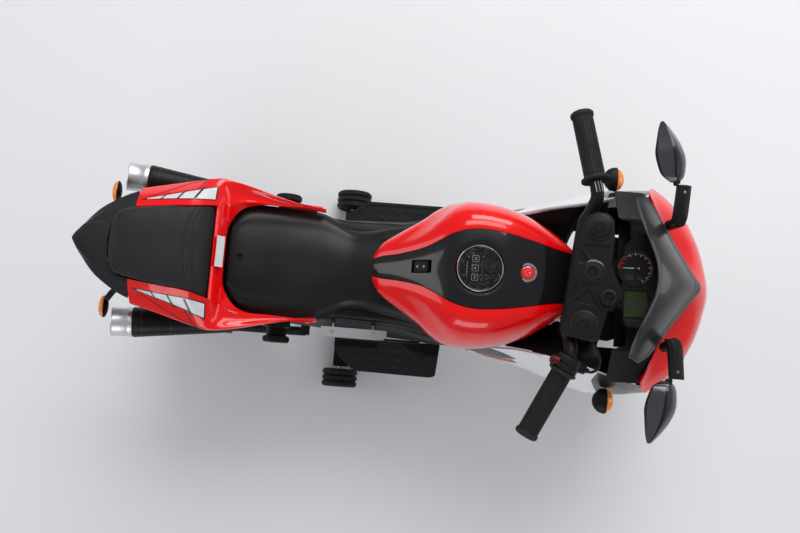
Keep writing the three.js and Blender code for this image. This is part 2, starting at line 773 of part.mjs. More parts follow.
function legCentre(z, side) {
  return headAxis(z).add(V(0, side * FORK_Y, 0));
}

function forkLeg(side, axleSolid) {
  const upper = rod(legCentre(300, side), legCentre(LEG_TOP_Z, side), FORK_R - 3, FORK_R - 3, 18);
  const lower = rod(legCentre(92, side), legCentre(306, side), FORK_R, FORK_R, 18);
  return clearOf(join(upper, lower), axleSolid);
}

function forkCrown() {
  const outline = [
    [268, -104], [266, -60], [264, 0], [266, 60], [274, 92], [284, 101], [304, 101], [314, 92],
    [322, 60], [322, 20], [330, 0], [343, -14], [346, -30], [338, -44], [328, -52], [322, -104],
  ].map(([x, y]) => [x - STEM_TOP.x, y]);
  const plate = slab(outline, -8, 6, 2);
  const caps = [-1, 1].map((side) => rod(V(0, side * FORK_Y, -54), V(0, side * FORK_Y, 12), 15, 15, 14));
  const nut = rod(V(0, 5, 0), V(0, 5, 12), 15, 15, 14);
  const key = rod(V(31, -31, 0), V(31, -31, 11), 13, 13, 14);
  const crown = join(plate, ...caps, nut, key).rotateY(-RAKE);
  return crown.translate(STEM_TOP.x, 0, STEM_TOP.z);
}

function handlebar() {
  const half = [GRIP_OUTER, barPoint(26, 1), V(281, 101, 553.5), V(274, 88, 551)];
  const other = half.slice().reverse().map((p) => V(p.x, -p.y, p.z));
  return pipe([...half, ...other], BAR_R, 14);
}

const GRIP_FLANGE_R = 23;
const BAR_DIR = GRIP_OUTER.clone().sub(GRIP_INNER).normalize();

function grip() {
  const length = GRIP_OUTER.distanceTo(GRIP_INNER);
  const bore = BAR_R + 0.9;
  const profile = [
    [bore, 0], [GRIP_FLANGE_R, 0], [GRIP_FLANGE_R, 4], [18, 7], [17.5, length - 2], [19.5, length],
    [19.5, length + 5], [17, length + 7], [bore - 8, length + 7], [bore - 8, length + 1], [bore, length + 1],
  ];
  const g = turned(profile, 16);
  g.applyQuaternion(new THREE.Quaternion().setFromUnitVectors(V(0, 1, 0), BAR_DIR));
  return g.translate(GRIP_INNER.x, GRIP_INNER.y, GRIP_INNER.z);
}

// Places on the right-hand bar, measured inward from the grip's inner end.
function barPoint(distance, side) {
  const p = GRIP_INNER.clone().addScaledVector(BAR_DIR, -distance);
  return V(p.x, side * p.y, p.z);
}

function throttleHousing(barSolid, gripSolid) {
  const clamp = rod(barPoint(1, -1), barPoint(24, -1), 21, 19, 14);
  const arm = rod(V(287, -141, 560), V(315, -148, 556), 9, 7, 10);
  const block = box(258, 294, -151, -133, 560, 583);
  const wellFoot = V(HORN.foot + HORN.travel + 1, HORN.y, HORN.z);
  const well = rod(wellFoot, V(HORN.top - 10, HORN.y, HORN.z), HORN.r + 1, HORN.r + 1, 12);
  const gripSweep = rod(barPoint(0.6, -1), barPoint(-12, -1), GRIP_FLANGE_R + 1.5, GRIP_FLANGE_R + 1.5, 24);
  return clearOf(cut(join(clamp, arm, block), well, gripSweep), barSolid, gripSolid);
}

function hornButton() {
  return rod(V(HORN.foot, HORN.y, HORN.z), V(HORN.top, HORN.y, HORN.z), HORN.r, HORN.r - 0.6, 12);
}

const CABLE_R = 2.5;
const CABLE_PATH = [
  V(315.8, -148.2, 555.9), V(325, -150, 555), V(334, -144, 555), V(337, -132, 555),
  V(333, -120, 556), V(325, -109, 557), V(318, -101, 557), V(315.4, -96.4, 556),
];

function controlCable() {
  const section = new THREE.Shape();
  section.absarc(0, 0, CABLE_R, 0, Math.PI * 2);
  return new THREE.ExtrudeGeometry(section, {
    steps: 14,
    curveSegments: 4,
    bevelEnabled: false,
    extrudePath: new THREE.CatmullRomCurve3(CABLE_PATH, false, 'centripetal'),
  });
}

const GUARD_R = WHEEL_R + 9;

function frontMudguard() {
  const rows = [28, 48, 68, 88, 108, 128, 146].map((a) => [-40, -34, -18, 18, 34, 40].map((y) => {
    const r = GUARD_R - (Math.abs(y) > 30 ? (Math.abs(y) - 30) * 1.2 : 0);
    return V(AXLE_POINT.x + r * Math.cos(deg(a)), y, AXLE_POINT.z + r * Math.sin(deg(a)));
  }));
  const guard = sheet(rows, PANEL, 1);
  const stay = (side) => {
    const p = AXLE_POINT.clone().addScaledVector(STEER_UP, 112);
    return rod(V(p.x, side * 37, p.z), V(p.x, side * 60, p.z), 7, 7, 10);
  };
  return join(guard, stay(1), stay(-1));
}

// ---- assembly ----
const COLOURS = {
  red: [0xc8101a, 0.25, 0],
  black: [0x17181a, 0.45, 0],
  gloss: [0x0d0e10, 0.2, 0],
  grey: [0x3c3e42, 0.6, 0],
  leather: [0x2b2c2f, 0.7, 0],
  rubber: [0x111213, 0.85, 0],
  silver: [0xb8babd, 0.35, 0.8],
  white: [0xe9eaec, 0.3, 0],
  amber: [0xe07a18, 0.3, 0],
  smoke: [0x303237, 0.3, 0],
  clear: [0xd5dade, 0.15, 0],
};

const motorcycle = new THREE.Group();
const steering = new THREE.Group();
const turn = new THREE.Quaternion().setFromAxisAngle(STEER_UP, deg(REST_STEER_DEG));
steering.quaternion.copy(turn);
steering.position.copy(STEM_TOP.clone().sub(STEM_TOP.clone().applyQuaternion(turn)));
motorcycle.add(steering);

function add(name, geometry, colour, group = motorcycle) {
  const [color, roughness, metalness] = COLOURS[colour];
  const material = new THREE.MeshStandardMaterial({ color, roughness, metalness });
  const mesh = new THREE.Mesh(facingOut(geometry), material);
  mesh.name = name;
  group.add(mesh);
}

function addPair(stem, geometry, colour, group = motorcycle) {
  add(`${stem}_left`, geometry, colour, group);
  add(`${stem}_right`, mirrored(geometry), colour, group);
}

const seatSolid = seat();
const pillionSolid = pillion();
const cowlSolid = tailCowl(seatSolid, pillionSolid);
const head = steeringHead();
const pivotHole = rod(V(PIVOT.x, -130, PIVOT.z), V(PIVOT.x, 130, PIVOT.z), PIVOT.r + GAP, PIVOT.r + GAP, 14);

addPair('body_shell', clearOf(cut(bodyShellLeft(), pivotHole), head), 'black');
add('seat', seatSolid, 'black');
add('pillion_pad', pillionSolid, 'leather');
add('tail_cowl', cowlSolid, 'red');
add('tail_cap', tailCap(pillionSolid, cowlSolid), 'grey');
addPair('tank_panel', tankPanel(), 'red');
add('tank_centre', tankCentre(), 'gloss');
add('media_panel', mediaPanel(), 'gloss');
add('media_button', mediaButton(), 'black');
add('power_button', powerButton(), 'red');
add('direction_rocker', directionRocker(), 'black');
const fairing = sideFairing();
const nose = clearOf(noseCowl(), fairing, mirrored(fairing));
addPair('side_fairing', fairing, 'white');
addPair('inner_panel', clearOf(innerPanel(), fairing), 'black');
add('nose_cowl', nose, 'red');
add('dash_tray', clearOf(dashTray(), nose), 'black');
add('instrument_cluster', instrumentCluster(), 'black');
add('windshield', windshield(), 'smoke');
addPair('headlight', headlight(), 'clear');
addPair('mirror_arm', mirrorArm(), 'black');
addPair('mirror', mirrorHead(), 'gloss');
addPair('front_signal', clearOf(frontSignal(), fairing), 'amber');
addPair('rear_signal', rearSignal(), 'amber');
addPair('exhaust', exhaust(), 'silver');
add('tail_light', tailLight(), 'red');
addPair('footboard', footboard(), 'gloss');
add('training_bar', trainingBar(), 'black');
addPair('training_wheel', moved(trainingWheel(), TRAINER_X, 0, TRAINER_R), 'rubber');
add('swingarm', swingarm(), 'black');
add('rear_axle', moved(axle(120), REAR_AXLE_X, 0, WHEEL_R), 'silver');
add('gearbox', gearbox(), 'black');
add('rear_rim', moved(rim(REAR_TYRE_HALF), REAR_AXLE_X, 0, WHEEL_R), 'silver');
add('rear_tyre', moved(tyre(WHEEL_R, REAR_TYRE_HALF, 15, RIM_SEAT), REAR_AXLE_X, 0, WHEEL_R), 'rubber');
add('battery', box(-70, 60, -48, 48, 200, 290), 'grey');
add('steering_head', head, 'black');

const frontAxle = moved(axle(98), ...AXLE_POINT.toArray());
const barSolid = handlebar();
const stemSolid = steeringStem();
const legs = [1, -1].map((side) => forkLeg(side, frontAxle));
add('front_axle', frontAxle, 'silver', steering);
add('steering_stem', clearOf(stemSolid, ...legs), 'black', steering);
add('fork_leg_left', legs[0], 'silver', steering);
add('fork_leg_right', legs[1], 'silver', steering);
add('fork_crown', forkCrown(), 'black', steering);
add('handlebar', barSolid, 'black', steering);
const leftGrip = grip();
const rightGrip = mirrored(leftGrip);
add('grip_left', leftGrip, 'rubber', steering);
add('throttle_grip', rightGrip, 'rubber', steering);
add('throttle_housing', throttleHousing(barSolid, rightGrip), 'black', steering);
add('horn_button', hornButton(), 'red', steering);
add('control_cable', controlCable(), 'black', steering);
add('front_mudguard', frontMudguard(), 'black', steering);
add('front_rim', moved(rim(FRONT_TYRE_HALF), ...AXLE_POINT.toArray()), 'silver', steering);
const frontTyre = tyre(WHEEL_R - 0.25, FRONT_TYRE_HALF, 8, RIM_SEAT);
add('front_tyre', moved(frontTyre, ...AXLE_POINT.toArray()), 'rubber', steering);

export default motorcycle;
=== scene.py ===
import math

import bmesh
import bpy
from mathutils import Matrix, Vector


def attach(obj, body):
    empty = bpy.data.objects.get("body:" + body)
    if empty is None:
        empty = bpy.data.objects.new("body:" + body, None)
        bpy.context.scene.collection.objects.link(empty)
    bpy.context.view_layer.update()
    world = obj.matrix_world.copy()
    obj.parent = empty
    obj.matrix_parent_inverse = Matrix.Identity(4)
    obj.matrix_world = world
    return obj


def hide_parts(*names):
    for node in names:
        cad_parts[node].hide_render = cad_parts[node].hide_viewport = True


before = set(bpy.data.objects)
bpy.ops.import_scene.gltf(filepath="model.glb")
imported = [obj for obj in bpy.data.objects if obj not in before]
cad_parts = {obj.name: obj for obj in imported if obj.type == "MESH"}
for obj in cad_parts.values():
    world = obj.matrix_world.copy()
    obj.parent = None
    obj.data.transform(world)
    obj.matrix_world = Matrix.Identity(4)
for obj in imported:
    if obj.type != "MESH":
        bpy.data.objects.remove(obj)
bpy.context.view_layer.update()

# Child's ride-on motorcycle. Lengths below are in millimetres, +X forward, +Y left, +Z up, and are
# turned into metres where a mesh is made.
MM = 0.001

# ---- driving dimensions, as in the CAD ----
WHEEL_R = 115
TRAINER_X = -97
TRAINER_R = 37
FRONT_AXLE = Vector((420, 0, WHEEL_R))
REAR_AXLE = Vector((-330, 0, WHEEL_R))
STEM_TOP = Vector((295, 0, 580))
REST_STEER = math.radians(-6.5)
STEER_UP = (STEM_TOP - FRONT_AXLE).normalized()
RAKE = math.atan2(-STEER_UP.x, STEER_UP.z)
FORK_Y = 78
GRIP_INNER = Vector((279, 155, 562))
GRIP_OUTER = Vector((244, 262, 540))
BAR_R = 11
DIAL_X = 120
DIAL_R = 38.5
BUTTON_X = 198
ROCKER_X = 28

SHARP_DEG = 32        # edges sharper than this stay crisp
BEVEL_DEG = 34        # edges sharper than this are rounded
WELD = 1e-6           # metres; closer points become one

STEER = (Matrix.Translation(STEM_TOP) @ Matrix.Rotation(REST_STEER, 4, STEER_UP)
         @ Matrix.Translation(-STEM_TOP))


def V(x, y, z):
    return Vector((x, y, z))


UP, FORWARD, BACK = V(0, 0, 1), V(1, 0, 0), V(-1, 0, 0)
SIDES = (("left", False), ("right", True))
FLIPS = (("left", 1), ("right", -1))


# ---- smooth surfaces through grids ----
def spline(a, b, c, d, t):
    """The point at t between b and c on a smooth curve through a, b, c and d."""
    return 0.5 * ((2 * b) + (c - a) * t + (2 * a - 5 * b + 4 * c - d) * t * t
                  + (3 * b - 3 * c + d - a) * t ** 3)


def along(points, s):
    """The point at s, from 0 to len(points) - 1, on the smooth curve through the points."""
    last = len(points) - 1
    k = min(max(int(s), 0), last - 1)
    before = points[k - 1] if k > 0 else 2 * points[0] - points[1]
    after = points[k + 2] if k + 2 <= last else 2 * points[last] - points[last - 1]
    return spline(before, points[k], points[k + 1], after, s - k)


def dense(points, steps):
    """The points with steps intervals between each two, on the smooth curve."""
    count = (len(points) - 1) * steps
    return [along(points, i / steps) for i in range(count + 1)]


def station(table, x):
    """The values at x between listed stations [x, a, b, ...], on a smooth curve."""
    last = len(table) - 1
    x = min(max(x, table[0][0]), table[last][0])
    k = next((i for i in range(last) if x <= table[i + 1][0]), last - 1)
    x0, x1 = table[k][0], table[k + 1][0]
    t = (x - x0) / (x1 - x0)
    values = []
    for c in range(1, len(table[0])):
        def slope(i):
            lo, hi = max(i - 1, 0), min(i + 1, last)
            return (table[hi][c] - table[lo][c]) / (table[hi][0] - table[lo][0])
        y0, y1 = table[k][c], table[k + 1][c]
        m0, m1 = slope(k) * (x1 - x0), slope(k + 1) * (x1 - x0)
        values.append(y0 * (1 - t) ** 2 * (1 + 2 * t) + y1 * t * t * (3 - 2 * t)
                      + m0 * t * (1 - t) ** 2 - m1 * t * t * (1 - t))
    return values


class Surface:
    """A smooth sheet, from a function of u (its length) and v (its width), both 0 to 1."""

    def __init__(self, at):
        self.at = at

    def normal(self, u, v):
        e = 0.004
        du = self.at(min(u + e, 1), v) - self.at(max(u - e, 0), v)
        dv = self.at(u, min(v + e, 1)) - self.at(u, max(v - e, 0))
        return du.cross(dv).normalized()

    def patch(self, nu, nv, u=(0, 1), v=(0, 1)):
        """Points and normals over part of the sheet. v's ends may be functions of u's share."""
        points, normals = [], []
        for i in range(nu + 1):
            share = i / nu
            uu = u[0] + (u[1] - u[0]) * share
            v0 = v[0](share) if callable(v[0]) else v[0]
            v1 = v[1](share) if callable(v[1]) else v[1]
            vs = [v0 + (v1 - v0) * j / nv for j in range(nv + 1)]
            points.append([self.at(uu, w) for w in vs])
            normals.append([self.normal(uu, w) for w in vs])
        return points, normals


def gridded(grid):
    """A sheet through a grid of points: u runs over the rows and v along a row."""
    rows, cols = len(grid) - 1, len(grid[0]) - 1

    def at(u, v):
        k = min(int(u * rows), rows - 1)
        near = range(max(k - 1, 0), min(k + 3, rows + 1))
        column = {i: along(grid[i], v * cols) for i in near}
        before = column.get(k - 1, 2 * column[k] - column[k + 1])
        after = column.get(k + 2, 2 * column[k + 1] - column[k])
        return spline(before, column[k], column[k + 1], after, u * rows - k)
    return Surface(at)


def stationed(table, section):
    """A sheet along x: section gives the point across it at v, from the station's values."""
    x0, x1 = table[0][0], table[-1][0]

    def at(u, v):
        x = x0 + (x1 - x0) * u
        return section(x, station(table, x), v)
    return Surface(at)


# ---- mesh makers ----
def raw_mesh(name, verts, faces, weld=False):
    """An object in metres from points in millimetres, with its faces turned outward."""
    mesh = bpy.data.meshes.new(name)
    mesh.from_pydata([tuple(p * MM) for p in verts], [], faces)
    bm = bmesh.new()
    bm.from_mesh(mesh)
    if weld:
        bmesh.ops.remove_doubles(bm, verts=bm.verts, dist=WELD)
    bmesh.ops.recalc_face_normals(bm, faces=bm.faces)
    bm.to_mesh(mesh)
    bm.free()
    thing = bpy.data.objects.new(name, mesh)
    bpy.context.scene.collection.objects.link(thing)
    return thing


def make(name, verts, faces, look, body="root", slot="black_plastic", replaces=(), steer=False,
         bevel=0.0, segments=2, smooth=SHARP_DEG, mirror=False):
    """A piece of the object from points in millimetres, with its look and body; slot is not used."""
    if mirror:
        verts = [V(p.x, -p.y, p.z) for p in verts]
    if steer:
        verts = [STEER @ p for p in verts]
    piece = raw_mesh(name, verts, faces, weld=True)
    piece.data.shade_smooth()
    piece.data.set_sharp_from_angle(angle=math.radians(smooth))
    piece.data.materials.append(look)
    if bevel:
        add_bevel(piece, bevel, segments)
    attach(piece, body)
    if replaces:
        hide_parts(*replaces)
    return piece


def add_bevel(piece, width, segments=2):
    mod = piece.modifiers.new("edge", "BEVEL")
    mod.width = width * MM
    mod.segments = segments
    mod.limit_method = "ANGLE"
    mod.angle_limit = math.radians(BEVEL_DEG)
    mod.harden_normals = False
    mod.use_clamp_overlap = True


def slabbed(points, normals, thickness, lift=0.0):
    """Verts and faces of a sheet with a wall: outer face lifted, inner face thickness below."""
    rows, cols = len(points), len(points[0])
    verts = []
    for level in (lift, lift - thickness):
        for row, normal_row in zip(points, normals):
            verts.extend(p + n * level for p, n in zip(row, normal_row))
    faces = []

    def at(k, i, j):
        return k * rows * cols + i * cols + j
    for i in range(rows - 1):
        for j in range(cols - 1):
            faces.append((at(0, i, j), at(0, i + 1, j), at(0, i + 1, j + 1), at(0, i, j + 1)))
            faces.append((at(1, i, j), at(1, i, j + 1), at(1, i + 1, j + 1), at(1, i + 1, j)))
        faces.append((at(0, i, 0), at(1, i, 0), at(1, i + 1, 0), at(0, i + 1, 0)))
        faces.append((at(0, i, cols - 1), at(0, i + 1, cols - 1), at(1, i + 1, cols - 1),
                      at(1, i, cols - 1)))
    for j in range(cols - 1):
        faces.append((at(0, 0, j), at(0, 0, j + 1), at(1, 0, j + 1), at(1, 0, j)))
        faces.append((at(0, rows - 1, j), at(1, rows - 1, j), at(1, rows - 1, j + 1),
                      at(0, rows - 1, j + 1)))
    return verts, faces


def panel(name, surface, look, nu, nv, wall=3.0, up=1, lift=0.0, u=(0, 1), v=(0, 1), **kw):
    """A moulded panel on a surface. up says which way the surface's normal must be turned to face out."""
    points, normals = surface.patch(nu, nv, u, v)
    normals = [[n * up for n in row] for row in normals]
    verts, faces = slabbed(points, normals, wall, lift)
    return make(name, verts, faces, look, **kw)


def closed_loft(name, rings, look, **kw):
    return make(name, *loft_mesh(rings), look, **kw)


def joined(name, meshes, look, **kw):
    """One piece from several separate closed meshes of verts and faces."""
    verts, faces = [], []
    for more_verts, more_faces in meshes:
        faces += [tuple(i + len(verts) for i in face) for face in more_faces]
        verts += more_verts
    return make(name, verts, faces, look, **kw)


def loft_mesh(rings):
    n = len(rings[0])
    verts = [p for ring in rings for p in ring]
    faces = []
    for i in range(len(rings) - 1):
        for j in range(n):
            a, b = i * n + j, i * n + (j + 1) % n
            faces.append((a, b, b + n, a + n))
    faces.append(tuple(range(n)))
    faces.append(tuple(range(len(verts) - n, len(verts))))
    return verts, faces


def frame_on(direction):
    """Two directions square to the one given."""
    side = UP.cross(direction)
    if side.length < 1e-3:
        side = V(0, 1, 0)
    side.normalize()
    return side, direction.cross(side).normalized()


def turned(name, profile, foot, direction, look, sides=48, closed=False, **kw):
    """A round piece: profile is [radius, height] from foot along direction. A closed one is a ring."""
    direction = direction.normalized()
    a, b = frame_on(direction)
    verts, faces = [], []
    n = len(profile)
    for r, h in profile:
        for k in range(sides):
            t = 2 * math.pi * k / sides
            verts.append(foot + direction * h + (a * math.cos(t) + b * math.sin(t)) * r)
    for i in range(n if closed else n - 1):
        for k in range(sides):
            p, q = i * sides + k, i * sides + (k + 1) % sides
            m = ((i + 1) % n) * sides
            faces.append((p, q, m + (k + 1) % sides, m + k))
    if not closed:
        faces.append(tuple(range(sides)))
        faces.append(tuple(range((n - 1) * sides, n * sides)))
    return make(name, verts, faces, look, **kw)


def tube(name, points, radius, look, sides=12, **kw):
    """A round tube along the points. Its radius may be a function of the share along it."""
    side = None
    rings = []
    last = len(points) - 1
    for i, p in enumerate(points):
        ahead = (points[min(i + 1, last)] - points[max(i - 1, 0)]).normalized()
        if side is None:
            side, upright = frame_on(ahead)
        side = (side - ahead * side.dot(ahead)).normalized()
        upright = ahead.cross(side)
        r = radius(i / last) if callable(radius) else radius
        rings.append([p + side * (r * math.cos(2 * math.pi * k / sides))
                      + upright * (r * math.sin(2 * math.pi * k / sides)) for k in range(sides)])
    return closed_loft(name, rings, look, **kw)


def wrapped(low, high):
    """Verts and faces of the solid between two rings of as many points."""
    n = len(low)
    faces = [tuple(range(n)), tuple(range(n, 2 * n))]
    faces += [(i, (i + 1) % n, n + (i + 1) % n, n + i) for i in range(n)]
    return low + high, faces


def plate(name, outline, z0, z1, look, matrix=Matrix(), **kw):
    """A flat outline [x, y] pushed up from z0 to z1, then placed by a matrix."""
    low, high = ([matrix @ V(x, y, z) for x, y in outline] for z in (z0, z1))
    return make(name, *wrapped(low, high), look, **kw)


def arc(cx, cy, r, a0, a1, count):
    """Points on a circle from angle a0 to a1, in degrees."""
    angles = [math.radians(a0 + (a1 - a0) * i / count) for i in range(count + 1)]
    return [[cx + r * math.cos(a), cy + r * math.sin(a)] for a in angles]


def circle(cx, cy, r, count=32):
    return arc(cx, cy, r, 0, 360 - 360 / count, count - 1)


def carve(piece, *cutters):
    """Cuts each cutter out of the piece and removes the cutter."""
    for cutter in cutters:
        mod = piece.modifiers.new("cut", "BOOLEAN")
        mod.operation = "DIFFERENCE"
        mod.solver = "EXACT"
        mod.object = cutter
        keep = [m for m in piece.modifiers if m.type != "BOOLEAN"]
        for m in keep:
            m.show_viewport = False
        bpy.context.view_layer.update()
        graph = bpy.context.evaluated_depsgraph_get()
        mesh = bpy.data.meshes.new_from_object(piece.evaluated_get(graph))
        piece.modifiers.remove(mod)
        for m in keep:
            m.show_viewport = True
        piece.data = mesh
        mesh.set_sharp_from_angle(angle=math.radians(SHARP_DEG))
        bpy.data.objects.remove(cutter)


def cutter(low, high):
    """The solid between two rings, to be carved out of a piece."""
    return raw_mesh("cutter", *wrapped(low, high))


def prism(outline, z0, z1):
    """A cutter: a flat outline [x, y] from z0 to z1."""
    return cutter(*([V(x, y, z) for x, y in outline] for z in (z0, z1)))


# ---- materials ----
class Look:
    """A node material built step by step: one shader, with colour, roughness and bump from noise."""

    def __init__(self, name, colour, rough, **inputs):
        """The shader's other inputs are named in lower case, as in coat_weight=1."""
        self.mat = bpy.data.materials.new(name)
        self.mat.use_nodes = True
        self.nodes = self.mat.node_tree.nodes
        self.links = self.mat.node_tree.links
        self.shader = self.nodes["Principled BSDF"]
        for key, value in {"coat_roughness": 0.04, "ior": 1.5, **inputs}.items():
            title = key.replace("_", " ").title().replace("Ior", "IOR")
            self.shader.inputs[title].default_value = value
        self.place = self.nodes.new("ShaderNodeTexCoord").outputs["Object"]
        self.colour = self.rgb(colour)
        self.rough = self.constant("Value", rough)
        self.height = None

    def node(self, kind, inputs, output=0, **settings):
        """A new node's output. Its inputs are numbers or the outputs of other nodes."""
        node = self.nodes.new("ShaderNode" + kind)
        for key, value in settings.items():
            setattr(node, key, value)
        for key, value in inputs.items():
            if isinstance(value, bpy.types.NodeSocket):
                self.links.new(value, node.inputs[key])
            else:
                node.inputs[key].default_value = value
        return node.outputs[output]

    def constant(self, kind, value):
        output = self.nodes.new("ShaderNode" + kind).outputs[0]
        output.default_value = value
        return output

    def rgb(self, colour):
        return self.constant("RGB", (*colour, 1))

    def stretched(self, *scale):
        return self.node("Mapping", {"Scale": scale, "Vector": self.place})

    def noise(self, scale, detail=3.0, place=None):
        return self.node("TexNoise", {"Scale": scale, "Detail": detail, "Vector": place or self.place},
                         "Fac")

    def cells(self, scale, feature="DISTANCE_TO_EDGE"):
        return self.node("TexVoronoi", {"Scale": scale, "Vector": self.place}, "Distance", feature=feature)

    def wave(self, scale, direction):
        return self.node("TexWave", {"Scale": scale, "Vector": self.place}, "Fac",
                         bands_direction=direction)

    def span(self, value, lo, hi, a=0.3, b=0.7):
        """The value moved from the range a to b into lo to hi."""
        return self.node("MapRange",
                         {"From Min": a, "From Max": b, "To Min": lo, "To Max": hi, "Value": value})

    def mix(self, share, a, b):
        return self.node("Mix", {0: share, 6: a, 7: b}, 2, data_type="RGBA")

    def math(self, operation, a, b):
        return self.node("Math", {0: a, 1: b}, operation=operation)

    def vary(self, other, scale, most=0.5):
        """Drifts the colour towards another one in soft patches."""
        self.colour = self.mix(self.span(self.noise(scale), 0, most), self.colour, self.rgb(other))
        return self

    def lighter_edges(self, colour, amount=0.5):
        """Lightens the colour on sharp outward edges, found from the mesh's pointiness."""
        pointiness = self.node("NewGeometry", {}, "Pointiness")
        edge = self.span(pointiness, 0, amount, 0.52, 0.62)
        self.colour = self.mix(edge, self.colour, self.rgb(colour))
        return self

    def smudge(self, lo, hi, scale):
        self.rough = self.span(self.noise(scale, 5), lo, hi)
        return self

    def grain(self, value, depth_mm):
        """Adds to the surface height: value times depth."""
        step = self.math("MULTIPLY", value, depth_mm * MM)
        self.height = self.math("ADD", self.height, step) if self.height else step
        return self

    def glow(self, strength):
        self.links.new(self.colour, self.shader.inputs["Emission Color"])
        self.shader.inputs["Emission Strength"].default_value = strength

    def done(self):
        ends = {"Base Color": self.colour, "Roughness": self.rough}
        if self.height:
            ends["Normal"] = self.node("Bump", {"Distance": 1.0, "Height": self.height})
        for key, output in ends.items():
            self.links.new(output, self.shader.inputs[key])
        return self.mat


def painted(name, colour, shade):
    look = Look(name, colour, 0.22, coat_weight=1.0, specular_ior_level=0.2, coat_ior=1.38)
    look.vary(shade, 6, 0.35).smudge(0.18, 0.28, 30)
    return look.grain(look.noise(700, 1), 0.006).grain(look.noise(60, 2), 0.03).done()


def moulded(name, colour, shade, rough=0.42, grain_scale=1600, depth=0.03):
    look = Look(name, colour, rough, specular_ior_level=0.17).vary(shade, 14, 0.5)
    # Sharp outward edges get a lighter colour.
    look.smudge(rough - 0.07, rough + 0.09, 24).lighter_edges([min(c * 3 + 0.01, 1) for c in shade], 0.35)
    return look.grain(look.noise(grain_scale, 4), depth).done()


def seat_black():
    look = Look("seat_black", (0.006, 0.006, 0.0065), 0.36, specular_ior_level=0.28)
    look.vary((0.014, 0.014, 0.015), 9, 0.6).smudge(0.33, 0.45, 12)
    return look.grain(look.noise(2200, 5), 0.02).grain(look.noise(26, 2), 0.25).done()


def leather():
    look = Look("leather", (0.021, 0.0215, 0.024), 0.5, sheen_weight=0.05, specular_ior_level=0.22)
    look.vary((0.032, 0.033, 0.036), 18, 0.6)
    pores = look.span(look.cells(620), 0, 1, 0.0, 0.35)
    look.colour = look.mix(pores, look.rgb((0.014, 0.014, 0.016)), look.colour)
    look.smudge(0.42, 0.6, 40)
    return look.grain(pores, 0.12).grain(look.noise(240, 4), 0.12).done()


def thread(name, colour):
    look = Look(name, colour, 0.7).vary([c * 0.7 for c in colour], 300, 0.8)
    return look.grain(look.wave(900, "DIAGONAL"), 0.1).done()


def rubber():
    look = Look("rubber", (0.007, 0.007, 0.007), 0.55, specular_ior_level=0.25)
    # Sharp outward edges get a lighter colour.
    look.vary((0.016, 0.016, 0.016), 40, 0.5).smudge(0.55, 0.75, 60).lighter_edges((0.07, 0.07, 0.07), 0.4)
    return look.grain(look.noise(1400, 5), 0.06).done()


def tyre_rubber():
    look = Look("tyre_rubber", (0.016, 0.016, 0.016), 0.7).vary((0.035, 0.034, 0.032), 22, 0.7)
    look.smudge(0.6, 0.85, 35)
    return look.grain(look.noise(900, 5), 0.1).done()


def brushed(name, colour, rough, sx=40, sy=900, sz=900):
    look = Look(name, colour, rough, metallic=1.0)
    streaks = look.noise(1.0, 4, look.stretched(sx, sy, sz))
    look.rough = look.span(streaks, rough - 0.08, rough + 0.12)
    look.colour = look.mix(look.span(streaks, 0, 0.4), look.colour, look.rgb([c * 0.7 for c in colour]))
    return look.grain(streaks, 0.012).done()


def chrome():
    look = Look("chrome", (0.85, 0.85, 0.87), 0.07, metallic=1.0).smudge(0.04, 0.12, 50)
    return look.grain(look.noise(500, 2), 0.002).done()


def silver_paint():
    look = Look("silver_paint", (0.52, 0.53, 0.55), 0.35, metallic=0.6, coat_weight=0.4)
    look.vary((0.42, 0.43, 0.45), 30, 0.5).smudge(0.28, 0.42, 60)
    return look.grain(look.noise(1800, 2), 0.01).done()


def lens(name, colour, shade, scale=420, depth=0.25, glow=0.0):
    look = Look(name, colour, 0.15, coat_weight=1.0, subsurface_weight=0.25,
                subsurface_radius=(0.004, 0.002, 0.001))
    look.vary(shade, 60, 0.5).smudge(0.1, 0.2, 80)
    look.glow(glow)
    return look.grain(look.wave(scale, "Z"), depth).done()


def clear_lens():
    look = Look("clear_lens", (0.86, 0.88, 0.9), 0.08, coat_weight=1.0, transmission_weight=0.55)
    look.vary((0.6, 0.63, 0.66), 40, 0.7).smudge(0.05, 0.14, 50)
    return look.grain(look.wave(260, "Y"), 0.2).done()


def smoke_screen():
    look = Look("smoke_screen", (0.016, 0.0165, 0.018), 0.34, coat_weight=0.25)
    look.vary((0.025, 0.026, 0.029), 10, 0.6).smudge(0.28, 0.4, 20)
    return look.grain(look.noise(1500, 3), 0.012).done()


def mirror_glass():
    look = Look("mirror_glass", (0.16, 0.165, 0.18), 0.14, metallic=0.9).vary((0.1, 0.105, 0.115), 16, 0.6)
    return look.smudge(0.06, 0.16, 30).grain(look.noise(300, 2), 0.002).done()


def speckled():
    """The dial's dark face, with fine pale speckles."""
    look = Look("speckled", (0.008, 0.008, 0.009), 0.4, coat_weight=0.1, specular_ior_level=0.2)
    dots = look.span(look.cells(420, "F1"), 1, 0, 0.10, 0.28)
    patches = look.span(look.noise(90, 2), 0, 1, 0.45, 0.62)
    look.colour = look.mix(look.math("MULTIPLY", dots, patches), look.colour, look.rgb((0.35, 0.36, 0.38)))
    look.smudge(0.2, 0.4, 90)
    return look.grain(look.noise(1200, 3), 0.03).done()


def display(name, colour, shade, glow):
    look = Look(name, colour, 0.5, specular_ior_level=0.15).vary(shade, 120, 0.8).smudge(0.45, 0.6, 60)
    look.glow(glow)
    return look.grain(look.noise(900, 2), 0.005).done()


def ink(name, colour):
    look = Look(name, colour, 0.35, coat_weight=0.5).vary([c * 0.8 for c in colour], 80, 0.6)
    look.smudge(0.25, 0.45, 60)
    return look.grain(look.noise(1500, 2), 0.004).done()


